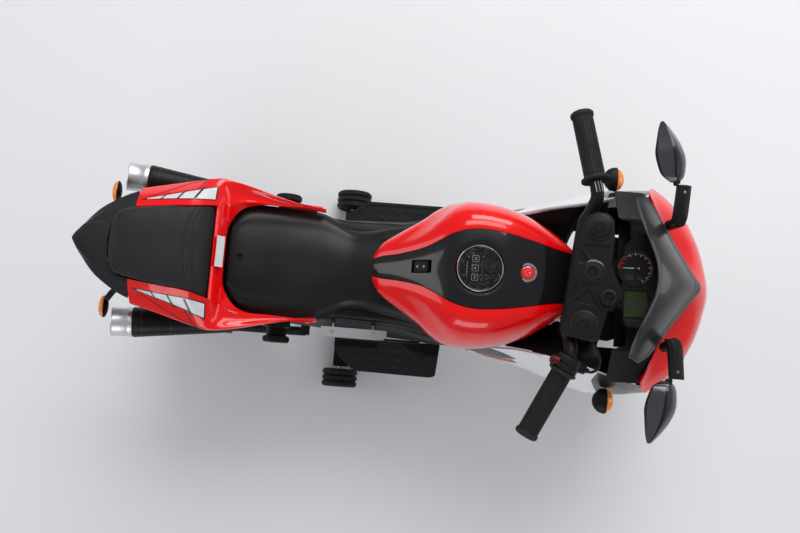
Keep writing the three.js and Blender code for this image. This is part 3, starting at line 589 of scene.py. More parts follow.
RED = painted("red_paint", (0.86, 0.003, 0.004), (0.76, 0.002, 0.003))
WHITE = painted("white_paint", (0.83, 0.84, 0.86), (0.76, 0.77, 0.8))
GLOSS = painted("gloss_black", (0.006, 0.006, 0.007), (0.012, 0.012, 0.013))
SATIN = moulded("satin_black", (0.006, 0.006, 0.0065), (0.012, 0.012, 0.013))
SEAT = seat_black()
GREY = moulded("cap_grey", (0.018, 0.0185, 0.02), (0.028, 0.0285, 0.031), 0.5, 2000, 0.04)
LEATHER = leather()
STITCH = thread("stitch_thread", (0.05, 0.05, 0.055))
RUBBER = rubber()
TYRE = tyre_rubber()
SILVER = brushed("brushed_silver", (0.76, 0.77, 0.79), 0.42)
STEEL = brushed("plain_steel", (0.5, 0.5, 0.52), 0.35, 900, 60, 900)
CHROME = chrome()
RIM = silver_paint()
PLATE = moulded("grey_plate", (0.2, 0.2, 0.21), (0.27, 0.27, 0.28), 0.4)
AMBER = lens("amber_lens", (0.95, 0.27, 0.015), (0.8, 0.18, 0.01), glow=0.12)
RED_LENS = lens("red_lens", (0.5, 0.006, 0.006), (0.3, 0.004, 0.004), glow=0.05)
RED_BUTTON = lens("red_button", (0.72, 0.012, 0.014), (0.5, 0.006, 0.008), 30, 0.02, 0.15)
CLEAR = clear_lens()
SMOKE = smoke_screen()
GLASS = mirror_glass()
SPECKLED = speckled()
LCD = display("lcd", (0.03, 0.042, 0.014), (0.02, 0.028, 0.009), 0.1)
INK_WHITE = ink("ink_white", (0.75, 0.76, 0.78))
INK_RED = ink("ink_red", (0.6, 0.01, 0.01))
INK_BLACK = ink("ink_black", (0.01, 0.01, 0.011))
INK_GREY = ink("ink_grey", (0.2, 0.2, 0.21))


# ---- seat ----
# Stations: x, half-width, top z at the middle, drop at the edge.
SEAT_STATIONS = [
    [-302, 44, 434, 6], [-297, 60, 437, 8], [-280, 83, 438, 10], [-250, 93, 433, 12],
    [-200, 96, 422, 14], [-150, 96, 414, 16], [-118, 85, 411, 18], [-92, 72, 412, 18],
    [-62, 70, 418, 16], [-30, 76, 424, 12], [10, 84, 430, 9], [40, 95, 430, 7], [57, 103, 428, 6],
]
SEAT_BASE = 394.3


def seat_section(f, zt, drop):
    """Height across the seat: a flat saddle, a soft crest near the edge, then the rolled edge."""
    side = abs(f)
    crest = 2.2 * math.exp(-((side - 0.8) / 0.1) ** 2)
    return zt - drop * side ** 2.6 - 5 * max(0, (side - 0.9) / 0.1) ** 2 + crest


def crowned(table, rows, cols, section, turn_down, reach, foot):
    """Rings of a closed form along x: crowned above, its ends turned down, and flat underneath.

    section gives the height at the share f of the half-width w, and foot the [y, z] of the flat side.
    """
    x0, x1 = table[0][0], table[-1][0]
    rings = []
    for i in range(rows + 1):
        x = x0 + (x1 - x0) * i / rows
        w, *values = station(table, x)
        end = max(0, 1 - min(x - x0, x1 - x) / reach) if reach else 0
        y, z = foot(w, values)
        shares = [-1 + 2 * j / cols for j in range(cols + 1)]
        top = [V(x, f * w, section(x, f, w, values) - turn_down * end ** 2) for f in shares]
        rings.append([V(x, -y, z), *top, V(x, y, z)])
    return rings


seat = closed_loft("seat_moulding",
                   crowned(SEAT_STATIONS, 70, 44, lambda x, f, w, rest: seat_section(f, *rest),
                                            4, 5, lambda w, rest: (w - 3, SEAT_BASE)),
                   SEAT, slot="seat_plastic", replaces=["seat"], smooth=50)


def seat_top(x, y):
    w, zt, drop = station(SEAT_STATIONS, x)
    return seat_section(y / w, zt, drop)


def screw(name, p, r, normal=UP, body="root", look=STEEL, **kw):
    """A countersunk screw head with a cross recess, sitting on a surface."""
    head = turned(name, [[0.01, -1.2], [r, -1.2], [r, 0.1], [r * 0.8, 0.7], [0.01, 0.8]], p, normal, look,
                  sides=24, body=body, slot="steel", **kw)
    a, b = frame_on(normal)
    for along_arm, across in ((a, b), (b, a)):
        corners = [(-0.55, -0.12), (0.55, -0.12), (0.55, 0.12), (-0.55, 0.12)]
        ring = [p + along_arm * (i * r) + across * (j * r) for i, j in corners]
        carve(head, cutter(*([q + normal * level for q in ring] for level in (0.3, 2))))
    return head


SCREW_X = -279
carve(seat, prism(circle(SCREW_X, 0, 6), seat_top(SCREW_X, 0) - 5, 460))
screw("seat_screw", V(SCREW_X, 0, seat_top(SCREW_X, 0) - 4.2), 4.2, look=SEAT)


# ---- pillion pad ----
# Stations: x, half-width, top z, edge drop, base z.
PILLION_STATIONS = [
    [-481, 20, 519, 4, 500], [-477, 36, 522, 5, 494], [-466, 51, 525, 6, 487], [-440, 58, 525.5, 7, 483],
    [-400, 65, 520.5, 7, 481], [-362, 71, 511.5, 7, 477], [-343, 75, 504, 7, 471], [-330, 77, 490, 7, 463],
    [-323, 78, 478, 7, 459],
]
SEAM_HALF = 5.2
SEAM_WIDTH = 1.5


def seam_x(y):
    """The stitched band across the pillion bows back in the middle."""
    return -356 + 12 * (y / 72) ** 2


def groove(distance):
    return 1.3 * math.exp(-(distance / SEAM_WIDTH) ** 2)


def pillion_top(x, y):
    w, zt, drop, _ = station(PILLION_STATIONS, x)
    f = y / w
    z = zt - drop * abs(f) ** 3.2 - 4 * max(0, (abs(f) - 0.9) / 0.1) ** 2
    band = x - seam_x(y)
    puff = 1.6 * (1 - min(abs(f), 1) ** 4)
    return z + puff - groove(band - SEAM_HALF) - groove(band + SEAM_HALF)


def pillion():
    rings = crowned(PILLION_STATIONS, 110, 48, lambda x, f, w, rest: pillion_top(x, f * w), 5, 6,
                    lambda w, rest: (w - 2.5, rest[-1]))
    piece = closed_loft("pillion_cushion", rings, LEATHER, slot="pillion_leather", replaces=["pillion_pad"],
                        smooth=60)
    front = moulded("pillion_front", (0.018, 0.018, 0.02), (0.03, 0.03, 0.033), 0.5, 700, 0.08)
    piece.data.materials.append(front)
    for face in piece.data.polygons:
        c = face.center / MM
        if c.x > seam_x(c.y):
            face.material_index = 1


def stitches(name, path, length, radius):
    """Short threads laid end to end along a path of points, one mesh."""
    verts, faces = [], []
    sides = 6
    for a, b in zip(path[::2], path[1::2]):
        d = (b - a).normalized()
        side, up = frame_on(d)
        middle = (a + b) / 2
        base = len(verts)
        for share, r in ((-0.5, 0.35), (-0.35, 1.0), (0.35, 1.0), (0.5, 0.35)):
            for k in range(sides):
                t = 2 * math.pi * k / sides
                around = side * math.cos(t) + up * math.sin(t)
                verts.append(middle + d * (length * share) + around * (radius * r))
        for ring in range(3):
            for k in range(sides):
                p, q = base + ring * sides + k, base + ring * sides + (k + 1) % sides
                faces.append((p, q, q + sides, p + sides))
        faces.append(tuple(base + k for k in range(sides)))
        faces.append(tuple(base + 3 * sides + k for k in range(sides)))
    make(name, verts, faces, STITCH, slot="pillion_leather", smooth=60)


def pillion_stitching():
    for name, shift in (("front", SEAM_HALF - 2.4), ("rear", -SEAM_HALF + 2.4)):
        path = []
        for i in range(56):
            y = -67 + 134 * i / 55
            x = seam_x(y) + shift
            path.append(V(x, y, pillion_top(x, y) + 0.25))
        stitches(f"pillion_stitches_{name}", path, 3.3, 0.55)


pillion()
pillion_stitching()


# ---- tail cowl ----
# Stations: x, inner y and z, widest y and z, lower y and z.
COWL_STATIONS = [
    [-446, 60, 509, 97, 474, 78, 446], [-400, 66, 508, 109, 468, 84, 436],
    [-350, 72, 503, 122, 460, 92, 424],
    [-320, 79, 476, 129, 454, 100, 418], [-304, 84, 452, 128, 450, 101, 414],
    [-270, 94, 442, 122, 444, 101, 410],
    [-220, 95, 432, 110, 434, 101, 406], [-175, 97, 424, 101, 426, 99, 404],
    [-140, 97, 414, 98, 416, 98, 404],
]
COWL_WALL = 2.6


def cowl_section(x, values, v):
    """Across one side: v 0 is the inner top edge, about 0.55 the widest shoulder, 1 the lower edge."""
    yi, zi, yw, zw, yl, zl = values
    points = [V(x, yi, zi), V(x, yi + (yw - yi) * 0.5, zi + (zw - zi) * 0.36), V(x, yw - 2, zw + 5),
              V(x, yw, zw), V(x, yw - 1.5, zw - 9), V(x, yl, zl)]
    return along(points, v * (len(points) - 1))


COWL = stationed(COWL_STATIONS, cowl_section)


def cowl_sides():
    for side, mirror in SIDES:
        panel(f"tail_cowl_{side}", COWL, RED, 70, 30, wall=COWL_WALL, slot="red_panel", mirror=mirror,
              bevel=0.9, replaces=["tail_cowl"])


def cowl_bridge():
    """The red strip between the pillion's foot and the seat."""
    def at(u, v):
        y = -86 + 172 * v
        x = -320 + 16.5 * u
        lift = 3 * math.sin(math.pi * u)
        side = abs(y) / 86
        return V(x, y, 475 - 23 * u + lift - 3 * side ** 4)
    panel("tail_bridge", Surface(at), RED, 8, 40, wall=COWL_WALL, slot="red_panel", bevel=0.8)


cowl_sides()
cowl_bridge()


def decal(name, surface, look, u, v0, v1, side, **kw):
    """A thin film on a surface: a strip from u[0] to u[1], between two edges that may slope."""
    kw = {"nu": 24, "nv": 6, "slot": "red_panel", **kw}
    panel(f"{name}_{side}", surface, look, wall=0.25, lift=0.35, u=u, v=(v0, v1), mirror=side == "right",
          **kw)


def quad_on(surface, corners):
    """The part of a sheet inside four [u, v] corners, as a sheet of its own."""
    a, b, c, d = (V(u, v, 0) for u, v in corners)

    def at(u, v):
        p = a.lerp(b, u).lerp(d.lerp(c, u), v)
        return surface.at(p.x, p.y)
    return Surface(at)


def film(name, surface, corners, look, side, lift=0.4, nu=20, nv=6, slot="red_panel"):
    """A thin film with four straight edges on a surface: corners run along u first, then across."""
    panel(f"{name}_{side}", quad_on(surface, corners), look, nu, nv, wall=0.25, lift=lift, slot=slot,
          mirror=side == "right")


def tail_wedges():
    """A narrow white wedge on each side, with a black outline, slanted bars and a thin line past it."""
    for side in ("left", "right"):
        film("wedge_outline", COWL, [(0.02, 0.125), (0.405, 0.065), (0.405, 0.275), (0.02, 0.145)],
             INK_BLACK, side, nu=40)
        film("wedge", COWL, [(0.05, 0.128), (0.398, 0.08), (0.398, 0.258), (0.05, 0.142)], INK_WHITE, side,
             0.65, nu=40)
        for k, (u, half) in enumerate(((0.12, 0.005), (0.21, 0.006), (0.30, 0.007))):
            top = 0.145 + 0.13 * (u - 0.02) / 0.385
            film(f"wedge_bar_{k}", COWL, [(u - half, 0.1), (u + half, 0.1), (u + half + 0.035, top + 0.03),
                                          (u - half + 0.035, top + 0.03)], INK_BLACK, side, 0.85, nu=2)
        film("wedge_line", COWL, [(0.05, 0.17), (0.365, 0.47), (0.368, 0.487), (0.05, 0.18)], INK_BLACK,
             side, nu=40, nv=2)
        film("wedge_tick", COWL, [(0.30, 0.25), (0.306, 0.25), (0.37, 0.487), (0.362, 0.487)], INK_BLACK,
             side, nu=2)


tail_wedges()

# The seat's outline from the middle of its rear edge round to its side, and the red rim facing it.
SEAT_RIM = [(-304.2, 0), (-304.2, 26), (-303.6, 44), (-300, 58), (-295, 68), (-287, 79), (-276, 87.5),
            (-262, 92.5), (-245, 95.6), (-222, 97.6), (-190, 98.6), (-165, 98.8), (-146, 98.6)]
PAN_RIM = [(-306, 0), (-306, 28), (-306, 46), (-306, 60), (-305, 72), (-301, 84), (-290, 92), (-272, 96.5),
           (-250, 98.5), (-222, 100), (-190, 100.4), (-165, 100.4), (-146, 100)]


def seat_surround():
    """The red panel turned down round the back of the seat, so that no gap shows beside it."""
    for side, mirror in SIDES:
        def at(u, v):
            outer, inner = (along([V(x, y, 0) for x, y in rim], u * 12) for rim in (PAN_RIM, SEAT_RIM))
            p = outer.lerp(inner, v)
            top = 452 - 21 * min(1, max(0, (p.x + 304) / 80)) - 8 * max(0, (p.x + 224) / 80)
            return V(p.x, p.y, top - 12 * v - 0.5)
        panel(f"seat_surround_{side}", Surface(at), RED, 60, 6, wall=2.2, up=-1, slot="red_panel",
              mirror=mirror)


def seat_pan():
    """A dark shelf below the seat's and the pillion's edges, seen only through the seams beside them."""
    shelves = (
        ("seat_pan", lambda u, v: V(-306 + 150 * u, 62 + 35 * v, 424 - 24 * u), SATIN, 8, 4,
         "seat_plastic"),
        ("pillion_pan", lambda u, v: V(-470 + 112 * u, 30 + (30 + 12 * u) * v, 482), SATIN, 8, 4,
         "seat_plastic"),
        ("bridge_corner", lambda u, v: V(-332 + 30 * u, 56 + 25 * v, 465 - 12 * u), RED, 6, 6, "red_panel"),
    )
    for side, mirror in SIDES:
        for name, at, look, nu, nv, slot in shelves:
            panel(f"{name}_{side}", Surface(at), look, nu, nv, wall=2, slot=slot, mirror=mirror)


seat_surround()
seat_pan()


def blank_label():
    """A small plain plate between the pillion and the seat."""
    def at(u, v):
        return V(-316 + 12 * u, -24 + 52 * v, 474.4 - 8 * u)
    panel("blank_label", Surface(at), SILVER, 4, 8, wall=0.5, lift=3.2, slot="steel")


blank_label()


# ---- tail cap ----
# Stations: x, half-width, top z, edge z, base z.
CAP_STATIONS = [
    [-447, 90, 512, 488, 478], [-464, 82.5, 515, 489, 480], [-484, 70.5, 517, 491, 482],
    [-504, 55.5, 517, 493, 484],
    [-518, 40, 516, 495, 487], [-530, 23, 515, 497, 490], [-537, 12, 513, 500, 494],
    [-540, 4.5, 511.5, 502, 496.5],
]


CAP_WELL = [(-482.4, 0), (-480, 26), (-470, 50), (-462, 56), (-430, 62), (-430, -62), (-462, -56),
            (-470, -50), (-480, -26)]


def tail_cap():
    def section(x, f, w, values):
        zt, ze, _ = values
        raised = 3.4 / (1 + math.exp((abs(f * w) - 30 - (x + 490) * 0.12) * 2.2))
        fold = 1.5 * math.exp(-((abs(f) - 0.72) / 0.05) ** 2)
        return ze + (zt - ze) * (1 - abs(f) ** 2.2) + raised + fold
    rings = crowned(CAP_STATIONS[::-1], 60, 56, section, 0, 0, lambda w, values: (w * 0.82, values[-1]))
    cap = closed_loft("tail_end_cap", rings, GREY, slot="grey_satin", replaces=["tail_cap"], smooth=40)
    carve(cap, prism(CAP_WELL, 470, 540))
    add_bevel(cap, 0.8)


tail_cap()


# ---- tank ----
# Stations: x, inner edge y and z, outer edge y and z.
TANK_STATIONS = [
    [-50, 15, 446, 22, 441], [-38, 19, 456, 42, 442], [-8, 23, 480, 64, 443], [30, 32, 512, 89, 443],
    [52, 43, 528, 107, 436], [78, 57, 542, 121, 430], [112, 65, 549, 126, 428], [160, 62, 549, 121, 432],
    [208, 53, 541, 105, 442], [242, 46, 531, 84, 458], [270, 42, 519, 60, 484], [283, 41, 512, 45, 503],
]
PANEL_WALL = 3.0


def tank_section(x, values, v):
    yi, zi, yo, zo = values
    t = v * math.pi / 2
    return V(x, yi + (yo - yi) * math.sin(t) ** 0.9, zo + (zi - zo) * max(math.cos(t), 0) ** 0.8)


TANK = stationed(TANK_STATIONS, tank_section)


def scoop(u, v):
    """A shallow leaf-shaped hollow at the rear of each tank panel."""
    du, dv = (u - 0.27) / 0.13, (v - 0.52 - (u - 0.27) * 1.1) / 0.2
    return 4.5 * math.exp(-(du * du + dv * dv) ** 1.5)


def tank_scooped(u, v):
    return TANK.at(u, v) - TANK.normal(u, v) * scoop(u, v)


TANK_SKIN = Surface(tank_scooped)


def tank_panels():
    for side, mirror in SIDES:
        panel(f"tank_shell_{side}", TANK_SKIN, RED, 110, 36, wall=PANEL_WALL, slot="red_panel",
              mirror=mirror, bevel=0.9, segments=3, replaces=[f"tank_panel_{side}"])


tank_panels()

SEAM_GAP = 1.1
TANK_X0, TANK_X1 = TANK_STATIONS[0][0], TANK_STATIONS[-1][0]


def tank_centre_at(u, v):
    x = TANK_X0 + (TANK_X1 - TANK_X0) * u
    yi, zi, *_ = station(TANK_STATIONS, x)
    f = 2 * v - 1
    r = math.hypot(x - DIAL_X, f * yi)
    recess = 1.6 / (1 + math.exp((r - DIAL_R - 5) * 1.3))
    return V(x, f * (yi - SEAM_GAP), zi + 1.6 + 3.6 * (1 - f * f) - recess)


TANK_TOP = Surface(tank_centre_at)


def tank_top_z(x, y):
    u = (x - TANK_X0) / (TANK_X1 - TANK_X0)
    yi = station(TANK_STATIONS, x)[0]
    return tank_centre_at(u, (y / (yi - SEAM_GAP) + 1) / 2).z


def tank_top():
    top = panel("tank_spine", TANK_TOP, GLOSS, 130, 44, wall=3, slot="gloss_black",
                replaces=["tank_centre"])
    carve(top, prism(circle(DIAL_X, 0, DIAL_R + 0.9, 64), 530, 570),
          prism(circle(BUTTON_X, 0, 12, 40), 530, 560),
          prism(rounded_rect(ROCKER_X, 0, 31, 22, 2), 490, 545))
    add_bevel(top, 0.5)


def rounded_rect(cx, cy, w, h, r, count=5):
    out = []
    for sx, sy, a0 in ((1, 1, 0), (-1, 1, 90), (-1, -1, 180), (1, -1, 270)):
        out += arc(cx + sx * (w / 2 - r), cy + sy * (h / 2 - r), r, a0, a0 + 90, count)
    return out


tank_top()


# ---- dial, buttons and rocker on the tank ----
def bar(name, x0, x1, y0, y1, z0, z1, look, r=0.6, **kw):
    outline = rounded_rect((x0 + x1) / 2, (y0 + y1) / 2, x1 - x0, y1 - y0, r, 3)
    return plate(name, outline, z0, z1, look, **kw)


def ring(name, cx, cy, z, r, width, height, look, matrix=Matrix(), sides=64, **kw):
    """A flat ring with rounded shoulders, standing height above z."""
    profile = [[r - width, -0.4], [r - width, height * 0.5], [r - width * 0.7, height],
               [r - width * 0.3, height], [r, height * 0.5], [r, -0.4]]
    return turned(name, profile, matrix @ V(cx, cy, z), matrix.to_3x3() @ UP, look, sides=sides,
                  closed=True, **kw)


DIAL_TOP = 552.6


def dial():
    profile = [[0.01, 0], [DIAL_R - 0.4, 0], [DIAL_R - 0.4, 19.6], [DIAL_R - 3.5, 21.6], [DIAL_R - 5, 20.6],
               [0.01, 20.6]]
    foot = V(DIAL_X, 0, DIAL_TOP - 20.6)
    body = turned("dial_body", profile, foot, UP, SPECKLED, sides=96, slot="gloss_black",
                  replaces=["media_panel"])
    carve(body, prism(rounded_rect(DIAL_X + 18, 0, 10, 16, 1.5), 546.5, 570))
    ring("dial_chrome_ring", DIAL_X, 0, DIAL_TOP, DIAL_R - 0.6, 2.2, 1.9, CHROME, sides=96, slot="steel")
    bar("dial_key", DIAL_X + 13.6, DIAL_X + 22.4, -7.4, 7.4, 548.6, 554.0, SATIN, r=1.2, body="media",
        replaces=["media_button"], bevel=0.6)
    icons(DIAL_TOP)


def icons(z):
    """Three plain outlined keys with generic play, next and back marks, and a card slot."""
    kw = dict(slot="gloss_black")
    marks = ([(-2.2, -2), (-2.2, 2), (1.2, 0)], [(-1.8, -2.4), (-1.8, 2.4), (2.4, 0)],
             [(2.2, -2), (2.2, 2), (-1.2, 0)])
    low, x = z - 0.2, DIAL_X - 8
    for k, (y, mark) in enumerate(zip((-15, 0, 15), marks)):
        key = plate(f"dial_key_frame_{k}", rounded_rect(x, y, 11, 11, 2), low, z + 0.35, INK_GREY, **kw)
        carve(key, prism(rounded_rect(x, y, 9.4, 9.4, 1.4), z - 2, z + 2))
        plate(f"dial_mark_{k}", [(x + a, y + b) for b, a in mark], low, z + 0.4, INK_GREY, **kw)
        if y:
            middle = y - math.copysign(1.9, y)
            bar(f"dial_mark_bar_{k}", x - 2.4, x + 2.4, middle - 0.5, middle + 0.5, low, z + 0.4, INK_GREY,
                r=0.2, **kw)
    for k in range(4):
        bar(f"dial_scale_{k}", DIAL_X - 22, DIAL_X - 20.6, -9 + k * 5, -6 + k * 5, low, z + 0.3, INK_GREY,
            r=0.3, **kw)
    bar("dial_card_slot", DIAL_X + 2, DIAL_X + 4, -13, 13, low, z + 0.35, INK_BLACK, **kw)


dial()


def power_button():
    z = tank_top_z(BUTTON_X, 0)
    ring("power_bezel", BUTTON_X, 0, z - 0.6, 15.5, 4.2, 2.2, INK_GREY, slot="black_plastic")
    kw = dict(body="power", slot="red_button")
    profile = [[0.01, -11], [10.9, -11], [10.9, 0.2], [10.2, 1.6], [8.8, 2.2], [0.01, 1.4]]
    turned("power_cap", profile, V(BUTTON_X, 0, z), UP, RED_BUTTON, sides=48, replaces=["power_button"],
           **kw)
    low, high = z + 1.25, z + 1.8
    outline = arc(BUTTON_X, 0, 5.2, 35, 325, 30) + arc(BUTTON_X, 0, 4.2, 325, 35, 30)
    plate("power_mark_arc", outline, low, high, INK_WHITE, **kw)
    bar("power_mark_bar", BUTTON_X + 1.5, BUTTON_X + 6.6, -0.5, 0.5, low, high, INK_WHITE, r=0.2, **kw)


power_button()

ROCKER_TILT = math.radians(38)
ROCKER = Matrix.Translation(V(ROCKER_X, 0, 511)) @ Matrix.Rotation(-ROCKER_TILT, 4, "Y")


def rocker():
    kw = dict(matrix=ROCKER, body="direction")
    plate("rocker_cap", rounded_rect(0, 0, 27, 19, 2), -6, 2.2, SATIN, replaces=["direction_rocker"],
          bevel=1.0, segments=3, **kw)
    for k, side in enumerate((-1, 1)):
        plate(f"rocker_arrow_{k}", [[side * 5, -3], [side * 5, 3], [side * 9.5, 0]], 2.0, 2.5, INK_GREY,
              **kw)
    bar("rocker_ridge", -1.2, 1.2, -6, 6, 1.8, 2.8, SATIN, r=0.4, **kw)


rocker()


# ---- exhausts and rear signals ----
CAN_FRONT = V(-284, 112, 392)
CAN_REAR = V(-452, 125, 415)
TIP_END = V(-486, 127, 420)


def exhausts():
    can, tip = CAN_REAR - CAN_FRONT, TIP_END - CAN_REAR
    length, reach = can.length, tip.length
    for side, mirror in SIDES:
        kw = dict(slot="exhaust_metal", mirror=mirror)
        profile = [[0.01, 0], [13, 0], [16, 4], [20.5, length * 0.45], [25.4, length - 10],
                   [26, length - 3], [24.5, length], [0.01, length]]
        turned(f"exhaust_can_{side}", profile, CAN_FRONT, can, SATIN, sides=56,
               replaces=[f"exhaust_{side}"], **kw)
        for k, share in enumerate((0.62, 0.9)):
            r = 16 + 10 * share
            band = [[r - 2, -1.6], [r + 0.5, -1.6], [r + 0.5, 1.6], [r - 2, 1.6]]
            turned(f"exhaust_band_{k}_{side}", band, CAN_FRONT + can * share, can, SEAT, sides=56,
                   closed=True, bevel=0.4, **kw)
        profile = [[20.5, 0], [24.5, 0], [25.4, 3], [25.4, 8], [24.2, 10], [24.2, reach - 4],
                   [25, reach - 1.5], [24, reach], [21.5, reach], [20.5, reach - 2]]
        turned(f"exhaust_tip_{side}", profile, CAN_REAR, tip, SILVER, sides=64, closed=True, **kw)
        baffle = [[0.01, 2], [20.6, 2], [20.6, 7], [0.01, 7]]
        turned(f"exhaust_baffle_{side}", baffle, CAN_REAR, tip, SATIN, sides=40, **kw)
        plate(f"exhaust_bracket_{side}", rounded_rect(-390, 100, 22, 26, 3), 398, 403, SATIN, bevel=0.6,
              **kw)


exhausts()


def ball(name, centre, radii, low, direction, look, **kw):
    """The part of an egg-shaped form above a latitude, its pole in the direction given."""
    a, b = frame_on(direction)
    rings = []
    rows, sides = 18, 28
    for i in range(rows + 1):
        lat = math.radians(low + (90 - low) * i / rows)
        r, h = max(math.cos(lat), 0.01), math.sin(lat)
        middle, wide, deep = centre + direction * (h * radii[2]), a * (r * radii[0]), b * (r * radii[1])
        turns = [2 * math.pi * k / sides for k in range(sides)]
        rings.append([middle + wide * math.cos(t) + deep * math.sin(t) for t in turns])
    return closed_loft(name, rings, look, **kw)


# Each end: the lens and the shell as middle, radii, lowest latitude and way out, then the stalk.
SIGNALS = {
    "rear": ((V(-508, 101, 402), (19, 11, 8.2), -12, BACK), (V(-507.2, 101, 402), (20, 12, 7.5), 8, FORWARD),
             dense([V(-468, 62, 428), V(-488, 72, 417), V(-503, 88, 406)], 6), 5.4),
    "front": ((V(366, 196, 427), (21, 13, 17), 12, FORWARD), (V(367.6, 196, 427), (21.8, 13.8, 22), -4, BACK),
              dense([V(362, 175.5, 425), V(362, 182, 426), V(362, 190, 427)], 4), 5.6),
}


def signals():
    for side, mirror in SIDES:
        for end, (lens_form, shell_form, stalk, thick) in SIGNALS.items():
            name = f"{end}_signal"
            ball(f"{name}_lens_{side}", *lens_form, AMBER, mirror=mirror, slot="amber_lens",
                 replaces=[f"{name}_{side}"])
            ball(f"{name}_shell_{side}", *shell_form, SATIN, mirror=mirror)
            tube(f"{name}_stalk_{side}", stalk, thick, SATIN, mirror=mirror, sides=16)


signals()


def tail_light():
    def section(x, w, z0, z1):
        return [V(x, -w, z0), V(x, -w * 1.1, z1), V(x, w * 1.1, z1), V(x, w, z0)]
    rings = [section(-500, 26, 462, 477), section(-512, 24, 462, 479), section(-522, 18, 466, 481)]
    closed_loft("tail_lamp", rings, RED_LENS, slot="red_lens", replaces=["tail_light"], bevel=1.5,
                segments=3)


tail_light()


# ---- nose, windshield and dash ----
# Half outlines from the middle to the side, at falling levels.
NOSE_HALF = [
    [(483, 0, 527), (462, 30, 531), (440, 58, 532), (427, 90, 528), (419, 122, 514), (408, 160, 499)],
    [(514, 0, 492), (506, 42, 490), (492, 82, 487), (468, 122, 484), (440, 151, 480), (416, 173, 476)],
    [(530, 0, 452), (522, 41, 451), (508, 84, 450), (486, 128, 450), (458, 157, 450), (430, 178, 450)],
    [(540, 0, 421), (525, 40, 418), (504, 78, 412), (480, 114, 408), (456, 140, 404), (432, 168, 400)],
    [(512, 0, 380), (502, 34, 378), (484, 64, 376), (464, 94, 374), (446, 120, 374), (432, 142, 374)],
]
SHIELD_FRONT = [(488, 0, 535), (468, 26, 544), (444, 56, 551), (419, 90, 557), (396, 118, 570),
                (373, 132, 592)]
SHIELD_REAR = [(388, 0, 622), (386, 23, 621), (378, 48, 618), (367, 76, 614), (357, 104, 610),
               (352, 126, 608)]
NOSE_WALL = 3


def both_halves(half):
    left = [V(*p) for p in half[::-1]]
    return left + [V(x, -y, z) for x, y, z in half[1:]]


NOSE = gridded([both_halves(row) for row in NOSE_HALF])


def nose():
    panel("nose_shell", NOSE, RED, 48, 110, wall=NOSE_WALL, up=-1, slot="red_panel", bevel=0.9, segments=3,
          replaces=["nose_cowl"])
    for side, outer, inner, sweep in (("left", 0.11, 0.385, 0.03), ("right", 0.89, 0.615, -0.03)):
        panel(f"headlight_bezel_{side}", NOSE, GLOSS, 16, 30, wall=0.6, up=-1, lift=0.8, u=(0.5, 0.77),
              v=(outer - sweep * 0.4, lambda s: inner + sweep * (1 - s)), slot="gloss_black")
        panel(f"headlight_lens_{side}", NOSE, CLEAR, 16, 30, wall=1.4, up=-1, lift=2.6, u=(0.525, 0.74),
              v=(outer + sweep * 0.2, lambda s: inner + sweep * (0.4 - s)), slot="clear_lens", bevel=0.5,
              replaces=[f"headlight_{side}"])
        for k, v in enumerate((0.3, 0.62)):
            at = outer + (inner - outer) * v
            p = NOSE.at(0.63, at)
            n = -NOSE.normal(0.63, at)
            turned(f"headlight_lamp_{k}_{side}",
                   [[0.01, 0], [9, 0], [9, 0.8], [7.6, 1.0], [4, 0.2], [0.01, 0.1]],
                   p + n * 0.9, n, CHROME, sides=36, slot="clear_lens")
    panel("nose_air_slot", NOSE, SATIN, 8, 30, wall=0.6, up=-1, lift=0.5, u=(0.84, 0.93),
          v=(lambda s: 0.4 + 0.03 * s, lambda s: 0.6 - 0.03 * s), slot="black_plastic")


nose()


def shield_at(u, v):
    front = along(FRONT_EDGE, v * 10)
    rear = along(REAR_EDGE, v * 10)
    side = abs(2 * v - 1)
    p = front + (rear - front) * u
    crown = 9 * math.sin(math.pi * u) * (1 - side ** 2)
    lip = 3.2 * math.exp(-((1 - u) / 0.03) ** 2)
    return p + V(0, 0, crown + lip)


FRONT_EDGE = both_halves(SHIELD_FRONT)
REAR_EDGE = both_halves(SHIELD_REAR)
SHIELD = Surface(shield_at)


def windshield():
    panel("screen", SHIELD, SMOKE, 60, 110, wall=2.8, slot="smoke_screen", bevel=0.9, segments=3,
          replaces=["windshield"])
    band = moulded("screen_band", (0.05, 0.052, 0.058), (0.07, 0.072, 0.08), 0.4, 1500, 0.02)
    panel("screen_front_band", SHIELD, band, 8, 110, wall=0.3, lift=0.4, u=(0.02, 0.13), v=(0.03, 0.97),
          slot="smoke_screen")
    panel("screen_line", SHIELD, INK_BLACK, 3, 110, wall=0.3, lift=0.45, u=(0.135, 0.16), v=(0.03, 0.97),
          slot="smoke_screen")


windshield()

DASH_REAR_NARROW, DASH_REAR_WIDE, DASH_FRONT = 374, 352, 426
DASH_Z, DASH_SIDE_Z, DASH_NOTCH, DASH_HALF = 512, 482, 100, 163


def dash_at(u, v):
    y = DASH_HALF * (1 - 2 * v)
    side = abs(y)
    blend = 1 / (1 + math.exp(-(side - DASH_NOTCH - 6) / 1.6))
    rear = DASH_REAR_NARROW + (DASH_REAR_WIDE - DASH_REAR_NARROW) * blend
    front = DASH_FRONT - max(0, side - 120) * 0.5 - 3 * (side / DASH_HALF) ** 8
    drop = max(0, side - 110) / (DASH_HALF - 110)
    return V(rear + (front - rear) * u, y,
             DASH_Z + (DASH_SIDE_Z - DASH_Z) * drop + 1.2 * math.sin(math.pi * u))


def dash():
    panel("dash_shelf", Surface(dash_at), SATIN, 16, 140, wall=2.8, up=-1, replaces=["dash_tray"],
          bevel=0.8)


dash()

GAUGE_TILT = math.radians(15.5)
GAUGE = Matrix.Translation(V(372, 21, 555.2)) @ Matrix.Rotation(-GAUGE_TILT, 4, "Y")


